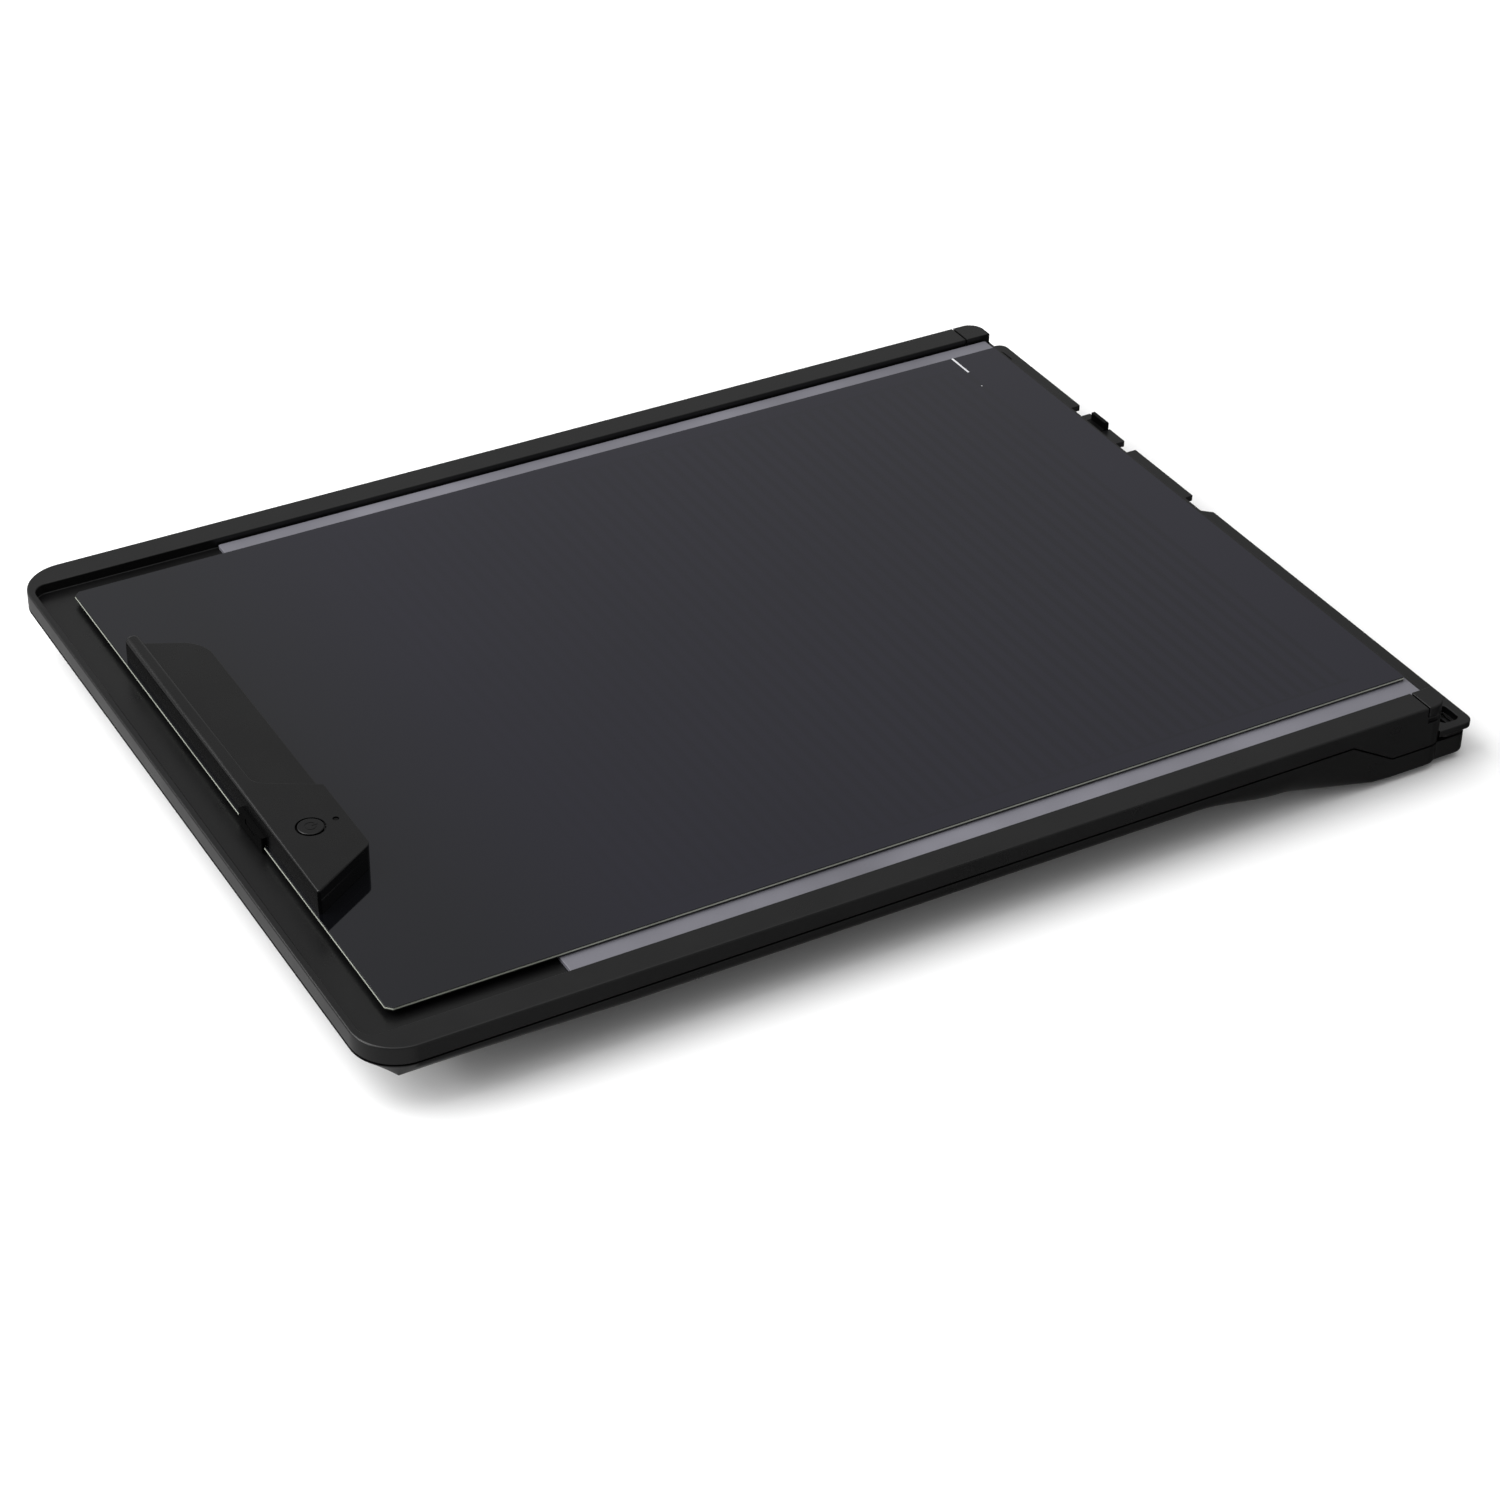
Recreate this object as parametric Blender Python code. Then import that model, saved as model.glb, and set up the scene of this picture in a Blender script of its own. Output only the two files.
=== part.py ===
"""Electrostatic sheet mat with its power handle, on a docking feed tray.

Every piece is drawn in millimetres from one datum, the middle of the mat's glossy top face:
+X towards the dock, +Y towards the far side, +Z up. The datum stands above the middle of the
object's footprint, so the world origin is the centre of the box's underside.
"""
import bpy
import bmesh
from math import cos, sin, tan, pi, radians
from mathutils import Vector

MM = 0.001

# ---- driving dimensions, millimetres from the datum --------------------------------------------
DATUM_X = -1.8
DATUM_Z = 33.0
GAP = 0.3                  # between pieces that touch or pass each other
FILM_GAP = 0.06            # between the printed layers of the mat

TRAY_LEFT = -258.2
TRAY_RIGHT = 245.0
TRAY_HALF_WIDTH = 190.1
TRAY_LEFT_CORNER = 20.0
TRAY_RIGHT_CORNER = 8.0
RAIL_TOP = 0.7
RAIL_INNER = 176.8         # half the distance between the rails
RIM_INNER = -255.0         # inner face of the raised left rim
NEAR_CAP_LEFT = 234.2
FAR_CAP_LEFT = 231.5
DECK_TOP = -4.2
DECK_UNDER = -6.5
CAP_SEAT = DECK_TOP - 0.1
WALL = 2.2
PARTING = -7.5             # line between the two mouldings, left and middle
SHALLOW_SIDE_TOP = PARTING - 0.5
PARTING_DOCK = -20.0       # the same line under the dock end
RAMP_START = 195.0         # the parting line runs down between these two
RAMP_END = 217.0

LEDGE_TOP = -15.5
LEDGE_THICKNESS = 3.0
LEDGE_RIGHT = 261.8
LEDGE_NEAR = -188.4
LEDGE_FAR = 189.5
LEDGE_CORNER = 4.5
LEDGE_LEFT = 243.2         # hidden inside the mouldings
DEEP_NOTCH = 256.0         # how far the lip's notches reach in
SHALLOW_NOTCH = 257.3
SHALLOW_NOTCH_SPAN = (6.0, 23.0)
SHALLOW_NOTCH_SLANT = 4.0
DEEP_NOTCH_SPANS = [(71.0, 80.0), (110.3, 119.0)]
SOCKET_OUTER_SIDE = -184.0
SOCKET_INNER_SIDE = -172.5
SOCKET_LEFT = 248.0
SOCKET_RIGHT = 253.8
SOCKET_MOUTH_RIGHT = 257.3
SOCKET_FLOOR = -26.0
SOCKET_CORNER = 2.5
SOCKET_WALL = 1.5
SIDE_SLOT_LEFT = 234.0     # dark slot in the wall, just below each rail cap
SIDE_SLOT_RIGHT = 241.0
RAIL_HOLLOW_LEFT = -236.0
RAIL_HOLLOW_RIGHT = 229.0

BASE_RIGHT = 258.5
BASE_DOCK_HALF_WIDTH = 188.5
BASE_WALL = 2.4
SHALLOW_BOTTOM = -16.5
BELLY_BOTTOM = -31.0
BELLY_START = 115.0
BELLY_END = 170.0
LEFT_LEAN = 13.6           # how far the lower moulding's bottom stands in from its left wall
SIDE_LEAN = 0.756          # the same along the sides, as a share of the moulding's depth
BELLY_SIDE_LEAN = 1.0
ROUND_SIDE_START = -200.0  # the sides' slant turns into a full curve by here
CREASE_START = 168.0       # the crease along the belly's side runs down between these two
CREASE_END = 208.0
CREASE_LOW = -27.0
DOCK_CREASE = -28.0
GROUND = -33.0

STRIP_LEFT = -167.0
STRIP_RIGHT = 241.5
STRIP_INNER = 160.0
STRIP_OUTER = 175.6
STRIP_TOP = -2.1

MAT_HALF_LENGTH = 240.0
MAT_HALF_WIDTH = 165.0
MAT_CORNER = 4.0
MAT_UNDER = -1.6
CORE_TOP = -0.42
COMB_THICKNESS = 0.1
FILM_THICKNESS = 0.2

COMB_FIRST_LINE = -129.5
COMB_PITCH = 6.73
COMB_LINES = 52
COMB_LINE_WIDTH = 0.8
COMB_BUS_WIDTH = 1.4
COMB_NEAR_BUS = -155.1
COMB_FAR_BUS = 153.5
COMB_TIP_CLEARANCE = 3.0
NEAR_BUS_END = 217.1
FAR_BUS_START = -195.5
FAR_BUS_END = 215.4

HANDLE_LEFT = -238.8
HANDLE_RIGHT = -207.5
HANDLE_TOP = 11.5
WING_TOP = 6.8
HANDLE_BOTTOM = 0.1
HANDLE_WALL = 1.6
HANDLE_FLOOR_TOP = 1.4
RIDGE_RIGHT = -232.3
RIDGE_FAR = 101.5
PLATEAU_FAR = -34.2        # the plateau's edge slants from here up to the ridge
BUTTON = (-224.0, -58.7)
BUTTON_RADIUS = 5.7
BUTTON_HOLE_RADIUS = 6.15
BUTTON_TOP = 11.8
INDICATOR = (-212.9, -58.3)
INDICATOR_HOLE_RADIUS = 1.35
BOARD_BOTTOM = 2.3
BOARD_TOP = 3.3
TAB_NEAR = -47.5
TAB_FAR = -23.5
TAB_LEFT = -240.9
TAB_BOTTOM = -3.0
TAB_TOP = 4.0
INLET_NEAR = -40.0
INLET_FAR = -31.0

FOOT_X = 190.0
FOOT_Y = 130.0
LEG_RADIUS = 11.0
PAD_RADIUS = 10.0
PAD_THICKNESS = 2.0
FOOT_GAP = 0.2

LATCH_NEAR = 93.5
LATCH_FAR = 105.0
LATCH_TOP = -11.5
LATCH_BOTTOM = -22.0
LATCH_TRAVEL = 3.0
LATCH_FOOT_LEFT = 248.5
LATCH_COLUMN_LEFT = 254.0
LATCH_TOOTH_LEFT = 258.6   # only this end of the column stands proud of the ledge

SCREW_SPOTS = [(-215, -120), (-215, 120), (40, -120), (40, 120), (205, -120), (205, 120)]
HANDLE_SCREW_SPOTS = [(-230, -84), (-219.5, 0), (-224, 90)]
PIN_SPOTS = [(-213.0, 59.0), (-213.0, 74.0)]

BEYOND = 30.0              # how far a cutter runs past the piece it cuts
OFFSET = 0.05              # keeps the walls of joined solids from lying in one plane


# ---- materials ---------------------------------------------------------------------------------
def make_material(name, colour, roughness, metallic=0.0):
    material = bpy.data.materials.new(name)
    material.use_nodes = True
    shader = material.node_tree.nodes["Principled BSDF"]
    shader.inputs["Base Color"].default_value = (*colour, 1.0)
    shader.inputs["Roughness"].default_value = roughness
    shader.inputs["Metallic"].default_value = metallic
    return material


# ---- outlines ----------------------------------------------------------------------------------
def rounded(corners, steps=5):
    """Points of a closed outline whose corners are (x, y, radius); a radius of 0 stays sharp."""
    points = []
    count = len(corners)
    for index, (x, y, radius) in enumerate(corners):
        corner = Vector((x, y))
        if radius <= 0:
            points.append((x, y))
            continue
        before = (Vector(corners[index - 1][:2]) - corner).normalized()
        after = (Vector(corners[(index + 1) % count][:2]) - corner).normalized()
        half_angle = before.angle(after) / 2
        reach = radius / tan(half_angle)
        centre = corner + (before + after).normalized() * (radius / sin(half_angle))
        start = corner + before * reach - centre
        sweep = start.angle_signed(corner + after * reach - centre)
        for step in range(steps + 1):
            turn = -sweep * step / steps
            points.append((centre.x + start.x * cos(turn) - start.y * sin(turn),
                           centre.y + start.x * sin(turn) + start.y * cos(turn)))
    return points


def inset(corners, distance):
    """The same counterclockwise corners moved inwards, with their radii kept concentric."""
    moved = []
    count = len(corners)
    for index, (x, y, radius) in enumerate(corners):
        corner = Vector((x, y))
        along_in = (corner - Vector(corners[index - 1][:2])).normalized()
        along_out = (Vector(corners[(index + 1) % count][:2]) - corner).normalized()
        inward_in = Vector((-along_in.y, along_in.x))
        inward_out = Vector((-along_out.y, along_out.x))
        shift = (inward_in + inward_out) * (distance / (1 + inward_in.dot(inward_out)))
        convex = along_in.cross(along_out) > 0
        new_radius = radius - distance if convex else radius + distance
        moved.append((x + shift.x, y + shift.y, max(new_radius, 0.0)))
    return moved


def rectangle(left, near, right, far, radius=0.0):
    return [(left, near, radius), (right, near, radius), (right, far, radius), (left, far, radius)]


def circle(centre, radius, sides=24):
    return [(centre[0] + radius * cos(2 * pi * side / sides),
             centre[1] + radius * sin(2 * pi * side / sides)) for side in range(sides)]


def smooth_step(value, start, end):
    share = min(max((value - start) / (end - start), 0.0), 1.0)
    return share * share * (3 - 2 * share)


def ramp(value, start, end, first, last):
    share = min(max((value - start) / (end - start), 0.0), 1.0)
    return first + (last - first) * share


# ---- objects -----------------------------------------------------------------------------------
def make_empty(name, location, parent=None):
    empty = bpy.data.objects.new(name, None)
    empty.empty_display_size = 10 * MM
    empty.location = [value * MM for value in location]
    empty.parent = parent
    bpy.context.collection.objects.link(empty)
    return empty


def finish_mesh(name, builder, frame):
    """Turn a bmesh, in millimetres from the frame's own point, into an object on that frame."""
    bmesh.ops.scale(builder, vec=(MM, MM, MM), verts=builder.verts)
    bmesh.ops.recalc_face_normals(builder, faces=builder.faces)
    mesh = bpy.data.meshes.new(name)
    builder.to_mesh(mesh)
    builder.free()
    piece = bpy.data.objects.new(name, mesh)
    piece.parent = frame
    bpy.context.collection.objects.link(piece)
    return piece


def extrude(name, points, low, high, frame, upright=True):
    """A prism from an outline: drawn in plan and raised along Z, or in X-Z and run along Y."""
    builder = bmesh.new()
    if upright:
        ring = [builder.verts.new((x, y, low)) for x, y in points]
        travel = (0, 0, high - low)
    else:
        ring = [builder.verts.new((x, low, z)) for x, z in points]
        travel = (0, high - low, 0)
    face = builder.faces.new(ring)
    raised = bmesh.ops.extrude_face_region(builder, geom=[face])
    top = [item for item in raised["geom"] if isinstance(item, bmesh.types.BMVert)]
    bmesh.ops.translate(builder, verts=top, vec=travel)
    return finish_mesh(name, builder, frame)


def plate(name, corners, low, high, frame):
    return extrude(name, rounded(corners), low, high, frame)


def block(name, left, near, right, far, low, high, frame):
    return extrude(name, rounded(rectangle(left, near, right, far)), low, high, frame)


def post(name, centre, radius, low, high, frame, sides=24):
    piece = extrude(name, circle(centre, radius, sides), low, high, frame)
    piece.data.shade_smooth()
    piece.data.set_sharp_from_angle(angle=radians(40))
    return piece


def dress(piece, material):
    piece.data.materials.append(material)
    return piece


def combine(piece, operand, operation):
    operand.hide_render = True
    operand.display_type = "WIRE"
    modifier = piece.modifiers.new(operand.name, "BOOLEAN")
    modifier.operation = operation
    modifier.solver = "EXACT"
    modifier.object = operand


def cut(piece, *cutters):
    for cutter in cutters:
        combine(piece, cutter, "DIFFERENCE")


def add(piece, *additions):
    for addition in additions:
        combine(piece, addition, "UNION")


def both_sides(name, near_corners):
    """The corners given for the near side, and their mirror image for the far side."""
    mirrored = [(x, -y, radius) for x, y, radius in reversed(near_corners)]
    return ("near_" + name, near_corners), ("far_" + name, mirrored)


# ---- tray: upper moulding ----------------------------------------------------------------------
def tray_plan(clearance=0.0):
    half = TRAY_HALF_WIDTH
    corners = [(TRAY_LEFT, -half, TRAY_LEFT_CORNER), (TRAY_RIGHT, -half, TRAY_RIGHT_CORNER),
               (TRAY_RIGHT, half, TRAY_RIGHT_CORNER), (TRAY_LEFT, half, TRAY_LEFT_CORNER)]
    return inset(corners, clearance)


def ledge_plan():
    """The dock ledge with its two square notches and one shallow notch with a slanted wall."""
    near, far = SHALLOW_NOTCH_SPAN
    corners = [(LEDGE_LEFT, LEDGE_NEAR, 0), (LEDGE_RIGHT, LEDGE_NEAR, LEDGE_CORNER),
               (LEDGE_RIGHT, near, 0), (SHALLOW_NOTCH, near + SHALLOW_NOTCH_SLANT, 0),
               (SHALLOW_NOTCH, far, 0), (LEDGE_RIGHT, far, 0)]
    for near, far in DEEP_NOTCH_SPANS:
        corners += [(LEDGE_RIGHT, near, 0), (DEEP_NOTCH, near, 0), (DEEP_NOTCH, far, 0),
                    (LEDGE_RIGHT, far, 0)]
    return corners + [(LEDGE_RIGHT, LEDGE_FAR, LEDGE_CORNER), (LEDGE_LEFT, LEDGE_FAR, 0)]


def dock_plan(clearance=0.0):
    """The walls under the ledge, flush with its sides and set back from its lip."""
    half = BASE_DOCK_HALF_WIDTH - 0.3
    corners = rectangle(243.8, -half, BASE_RIGHT, half, LEDGE_CORNER)
    return inset(corners, clearance)


def socket_corners(left, right, clearance=0.0):
    near = rectangle(left, SOCKET_OUTER_SIDE, right, SOCKET_INNER_SIDE, SOCKET_CORNER)
    return inset(near, clearance)


def below_parting(name, frame, lift):
    """A cutter for what lies under the parting line, which ramps down to the dock end."""
    floor = GROUND - BEYOND
    high, low = PARTING + lift, PARTING_DOCK + lift
    profile = [(-400, floor), (400, floor), (400, low), (RAMP_END, low), (RAMP_START, high),
               (-400, high)]
    return extrude(name, profile, -250, 250, frame, upright=False)


def make_deck_shell(frame, material):
    deck = plate("deck_shell", tray_plan(), -20.6, RAIL_TOP, frame)
    cut(deck, plate("cut_deck_inside", tray_plan(WALL), -BEYOND, DECK_UNDER, frame))
    inner = RAIL_INNER
    trough = [(RIM_INNER, -inner, 7), (TRAY_RIGHT + BEYOND, -inner, 0),
              (TRAY_RIGHT + BEYOND, inner, 0), (RIM_INNER, inner, 7)]
    cut(deck, plate("cut_deck_trough", trough, DECK_TOP, BEYOND, frame))
    rail_hollow = rectangle(RAIL_HOLLOW_LEFT, -(TRAY_HALF_WIDTH - WALL - 0.5),
                            RAIL_HOLLOW_RIGHT, -(inner + WALL))
    for name, corners in both_sides("cut_rail_hollow", rail_hollow):
        cut(deck, plate(name, corners, DECK_UNDER - 0.5, RAIL_TOP - WALL, frame))
    cut(deck, block("cut_near_cap_seat", NEAR_CAP_LEFT, -BEYOND - 190, 300, -inner + 0.2,
                    CAP_SEAT, BEYOND, frame))
    cut(deck, block("cut_far_cap_seat", FAR_CAP_LEFT, inner - 0.2, 300, BEYOND + 190, CAP_SEAT,
                    BEYOND, frame))
    side_slot = rectangle(SIDE_SLOT_LEFT, -BEYOND - 190, SIDE_SLOT_RIGHT,
                          -(TRAY_HALF_WIDTH - 1.5))
    for name, corners in both_sides("cut_side_slot", side_slot):
        cut(deck, plate(name, corners, PARTING, DECK_TOP - 0.9, frame))
    ledge_under = LEDGE_TOP - LEDGE_THICKNESS
    dock_wall = plate("add_dock_wall", dock_plan(), -21.0, ledge_under + 0.8, frame)
    cut(dock_wall, plate("cut_dock_wall_inside", dock_plan(BASE_WALL), -BEYOND, BEYOND, frame))
    add(deck, dock_wall)
    add(deck, plate("add_ledge", ledge_plan(), ledge_under, LEDGE_TOP, frame))
    cut(deck, block("cut_latch_slot", 253.7, LATCH_NEAR - GAP, 300, LATCH_FAR + GAP, -BEYOND,
                    LEDGE_TOP + 1, frame))
    cut(deck, below_parting("cut_below_parting_deck", frame, GAP / 2))
    cup_outer = rectangle(244.4, SOCKET_OUTER_SIDE - 1.1, 254.9, SOCKET_INNER_SIDE + SOCKET_WALL,
                          SOCKET_CORNER)
    for name, corners in both_sides("add_socket_cup", cup_outer):
        add(deck, plate(name, corners, SOCKET_FLOOR - SOCKET_WALL, ledge_under + 1.2, frame))
    for name, corners in both_sides("cut_socket_mouth",
                                    socket_corners(SOCKET_LEFT, SOCKET_MOUTH_RIGHT)):
        cut(deck, plate(name, corners, ledge_under - 0.5, 0, frame))
    for name, corners in both_sides("cut_socket_cup",
                                    socket_corners(SOCKET_LEFT, SOCKET_RIGHT, 0.5)):
        cut(deck, plate(name, corners, SOCKET_FLOOR, 0, frame))
    for number, spot in enumerate(SCREW_SPOTS):
        boss_bottom = base_floor(spot[0]) + 4.1
        add(deck, post(f"add_deck_boss_{number}", spot, 3.8, boss_bottom, DECK_UNDER + 0.5, frame,
                       16))
        cut(deck, post(f"cut_deck_pilot_{number}", spot, 1.5, -BEYOND - 5, DECK_UNDER + 0.8, frame,
                       12))
    return dress(deck, material)


# ---- tray: lower moulding ----------------------------------------------------------------------
def bottom_height(x):
    return SHALLOW_BOTTOM + (BELLY_BOTTOM - SHALLOW_BOTTOM) * smooth_step(x, BELLY_START, BELLY_END)


def base_floor(x):
    """Inside face of the lower moulding's floor."""
    return bottom_height(x) + BASE_WALL


def parting_height(x):
    return ramp(x, RAMP_START, RAMP_END, PARTING, PARTING_DOCK) - GAP / 2


def crease_height(x):
    """Where the upright side ends and the rounded underside begins."""
    if x < CREASE_END:
        return ramp(x, CREASE_START, CREASE_END, SHALLOW_SIDE_TOP, CREASE_LOW)
    return ramp(x, CREASE_END, RAMP_END, CREASE_LOW, DOCK_CREASE)


def base_near_edge():
    """Plan points with outward normals, from the left wall along the near side to the right."""
    edge = []
    steps = 6
    for step in range(steps + 1):
        turn = radians(180 + 90 * step / steps)
        normal = Vector((cos(turn), sin(turn)))
        edge.append((TRAY_LEFT + TRAY_LEFT_CORNER + TRAY_LEFT_CORNER * normal.x,
                     -TRAY_HALF_WIDTH + TRAY_LEFT_CORNER + TRAY_LEFT_CORNER * normal.y, normal))
    down = Vector((0, -1))
    belly = [BELLY_START + (BELLY_END - BELLY_START) * step / 8 for step in range(9)]
    for x in [-100, 40] + belly + [178, 187, RAMP_START, CREASE_END, RAMP_END, 236]:
        edge.append((x, -TRAY_HALF_WIDTH, down))
    edge.append((244, -BASE_DOCK_HALF_WIDTH - 0.3, Vector((0.3, -1)).normalized()))
    edge.append((246, -BASE_DOCK_HALF_WIDTH, down))
    for step in range(5):
        turn = radians(-90 + 90 * step / 4)
        normal = Vector((cos(turn), sin(turn)))
        edge.append((BASE_RIGHT - LEDGE_CORNER + LEDGE_CORNER * normal.x,
                     -BASE_DOCK_HALF_WIDTH + LEDGE_CORNER + LEDGE_CORNER * normal.y, normal))
    return edge


def base_foot(x, y, normal, depth):
    """Where the side that starts at this plan point meets the bottom, for the near half."""
    if x < BELLY_START:
        return (max(x, TRAY_LEFT + LEFT_LEAN),
                max(y, -TRAY_HALF_WIDTH + SIDE_LEAN * (SHALLOW_SIDE_TOP - SHALLOW_BOTTOM)))
    back = depth * ramp(x, BELLY_START, BELLY_END, SIDE_LEAN, BELLY_SIDE_LEAN)
    return x - normal.x * back, y - normal.y * back


def make_base_skin(frame):
    """The outer skin as one grid: upright side, slanted or rounded edge, ladder across the bottom."""
    arc_steps = 5
    near = base_near_edge()
    builder = bmesh.new()
    near_columns = []
    for x, y, normal in near:
        crease, depth = crease_height(x), crease_height(x) - bottom_height(x)
        foot_x, foot_y = base_foot(x, y, normal, depth)
        roundness = ramp(x, TRAY_LEFT + LEFT_LEAN, ROUND_SIDE_START, 0.0, 1.0)
        column = [(x, y, parting_height(x))]
        for step in range(arc_steps + 1):
            share, turn = step / arc_steps, radians(90 * step / arc_steps)
            inwards = share + roundness * (1 - cos(turn) - share)
            downwards = share + roundness * (sin(turn) - share)
            column.append((x + (foot_x - x) * inwards, y + (foot_y - y) * inwards,
                           crease - depth * downwards))
        near_columns.append(column)
    far_columns = [[(x, -y, z) for x, y, z in column] for column in reversed(near_columns)]
    columns = [[builder.verts.new(point) for point in column]
               for column in near_columns + far_columns]
    for index, column in enumerate(columns):
        following = columns[(index + 1) % len(columns)]
        for row in range(arc_steps + 1):
            builder.faces.new((column[row], column[row + 1], following[row + 1], following[row]))
    left_end = TRAY_LEFT + LEFT_LEAN + 0.01
    first = next(index for index, column in enumerate(near_columns) if column[-1][0] > left_end)
    last = len(columns) - 1
    builder.faces.new([columns[index][-1] for index in range(first + 1)]
                      + [columns[last - index][-1] for index in reversed(range(first + 1))])
    for index in range(first, len(near) - 1):
        builder.faces.new((columns[index][-1], columns[last - index][-1],
                           columns[last - index - 1][-1], columns[index + 1][-1]))
    bmesh.ops.remove_doubles(builder, verts=builder.verts, dist=0.001)
    return finish_mesh("base_shell", builder, frame)


def make_base_shell(frame, material):
    base = make_base_skin(frame)
    wall = base.modifiers.new("wall", "SOLIDIFY")
    wall.thickness = BASE_WALL * MM
    wall.offset = -1.0
    wall.use_even_offset = True
    cut(base, block("cut_base_latch_slot", 255.0, LATCH_NEAR - GAP, 300, LATCH_FAR + GAP,
                    LATCH_BOTTOM - LATCH_TRAVEL - 1, 0, frame))
    for number, spot in enumerate(SCREW_SPOTS):
        floor = base_floor(spot[0])
        add(base, post(f"add_base_boss_{number}", spot, 5.0, floor - 0.6, floor + 3.8, frame, 16))
        cut(base, post(f"cut_base_sink_{number}", spot, 3.3, floor - 8, floor + 1.8, frame, 16))
        cut(base, post(f"cut_base_hole_{number}", spot, 1.7, floor - 8, floor + 8, frame, 12))
    base.data.shade_smooth()
    base.data.set_sharp_from_angle(angle=radians(35))
    return dress(base, material)


def make_screw(name, spot, head_radius, head_low, head_high, shank_radius, shank_top, frame):
    screw = post(name, spot, head_radius, head_low, head_high, frame, 16)
    add(screw, post("add_shank_" + name, spot, shank_radius, head_low + 0.4, shank_top, frame, 12))
    return screw


def make_base_screws(frame, material):
    for number, spot in enumerate(SCREW_SPOTS, start=1):
        floor = base_floor(spot[0])
        dress(make_screw(f"base_screw_{number}", spot, 2.9, floor - 1.4, floor + 1.5, 1.2,
                         DECK_UNDER + 0.5, frame), material)


# ---- tray: strips, caps, legs, pads, latch ------------------------------------------------------
def make_glide_strips(frame, material):
    near_strip = rectangle(STRIP_LEFT, -STRIP_OUTER, STRIP_RIGHT, -STRIP_INNER, 0.8)
    for name, corners in both_sides("glide_strip", near_strip):
        dress(plate(name, corners, DECK_TOP + 0.1, STRIP_TOP, frame), material)


def make_rail_cap(name, left, sign, frame, material):
    """A cap over the end of a rail, with a skirt that wraps the outside of the rail wall."""
    near, far = sorted((sign * RAIL_INNER, sign * TRAY_HALF_WIDTH))
    near_radius, far_radius = (TRAY_RIGHT_CORNER, 0) if sign < 0 else (0, TRAY_RIGHT_CORNER)
    corners = [(left + GAP / 2, near, 0), (TRAY_RIGHT, near, near_radius),
               (TRAY_RIGHT, far, far_radius), (left + GAP / 2, far, 0)]
    dress(plate(name, corners, CAP_SEAT + GAP / 2, RAIL_TOP, frame), material)


def make_feet(frame, leg_material, pad_material):
    for side, sign in (("near", -1), ("far", 1)):
        left_spot, right_spot = (-FOOT_X, sign * FOOT_Y), (FOOT_X, sign * FOOT_Y)
        pad_top = GROUND + PAD_THICKNESS
        dress(post(f"{side}_left_leg", left_spot, LEG_RADIUS, pad_top + FOOT_GAP,
                   SHALLOW_BOTTOM - FOOT_GAP, frame), leg_material)
        dress(post(f"{side}_left_pad", left_spot, PAD_RADIUS, GROUND, pad_top, frame),
              pad_material)
        dress(post(f"{side}_right_pad", right_spot, PAD_RADIUS, GROUND,
                   BELLY_BOTTOM - FOOT_GAP, frame), pad_material)


def make_latch(frame, material):
    """A toothed column in the ledge's slot, with a foot that the ledge stops from below."""
    middle = (257.6, (LATCH_NEAR + LATCH_FAR) / 2, LEDGE_TOP)
    axis = make_empty("latch_axis", middle, frame)
    under_ledge = LEDGE_TOP - LEDGE_THICKNESS - GAP
    right, chamfer = 261.3, 0.8
    profile = [(LATCH_FOOT_LEFT, LATCH_BOTTOM), (right, LATCH_BOTTOM),
               (right, LATCH_TOP - chamfer), (right - chamfer, LATCH_TOP),
               (LATCH_TOOTH_LEFT, LATCH_TOP), (LATCH_TOOTH_LEFT, LEDGE_TOP),
               (LATCH_COLUMN_LEFT, LEDGE_TOP), (LATCH_COLUMN_LEFT, under_ledge),
               (LATCH_FOOT_LEFT, under_ledge)]
    local = [(x - middle[0], z - middle[2]) for x, z in profile]
    half = (LATCH_FAR - LATCH_NEAR) / 2
    dress(extrude("dock_latch", local, -half, half, axis, upright=False), material)


def make_coil(name, centre, radius, wire, low, high, turns, frame, material):
    """A compression spring as one round wire along a helix."""
    curve = bpy.data.curves.new(name, "CURVE")
    curve.dimensions = "3D"
    curve.bevel_depth = wire / 2 * MM
    curve.bevel_resolution = 1
    curve.use_fill_caps = True
    per_turn = 12
    count = turns * per_turn + 1
    spline = curve.splines.new("POLY")
    spline.points.add(count - 1)
    for index in range(count):
        turn = 2 * pi * index / per_turn
        height = low + wire / 2 + (high - low - wire) * index / (count - 1)
        spline.points[index].co = ((centre[0] + radius * cos(turn)) * MM,
                                   (centre[1] + radius * sin(turn)) * MM, height * MM, 1)
    curve.materials.append(material)
    piece = bpy.data.objects.new(name, curve)
    piece.parent = frame
    bpy.context.collection.objects.link(piece)


# ---- mat ---------------------------------------------------------------------------------------
def mat_plan(clearance=0.0):
    """The mat's outline, with a notch in its left edge for the handle's tab."""
    half_x, half_y, radius = MAT_HALF_LENGTH, MAT_HALF_WIDTH, MAT_CORNER
    corners = [(-half_x, -half_y, radius), (half_x, -half_y, radius), (half_x, half_y, radius),
               (-half_x, half_y, radius), (-half_x, TAB_FAR + GAP, 0),
               (HANDLE_LEFT, TAB_FAR + GAP, 0), (HANDLE_LEFT, TAB_NEAR - GAP, 0),
               (-half_x, TAB_NEAR - GAP, 0)]
    return inset(corners, clearance)


def comb_outline(first_line, bus_edge, tip, left, right):
    """A bus bar at bus_edge with fingers that run from it across the mat to tip."""
    towards = 1 if tip > bus_edge else -1
    root = bus_edge + towards * COMB_BUS_WIDTH
    half = COMB_LINE_WIDTH / 2
    points = [(left, bus_edge), (left, root)]
    for line in range(first_line, COMB_LINES, 2):
        middle = COMB_FIRST_LINE + COMB_PITCH * line
        points += [(middle - half, root), (middle - half, tip), (middle + half, tip),
                   (middle + half, root)]
    points += [(right, root), (right, bus_edge)]
    return points


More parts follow.
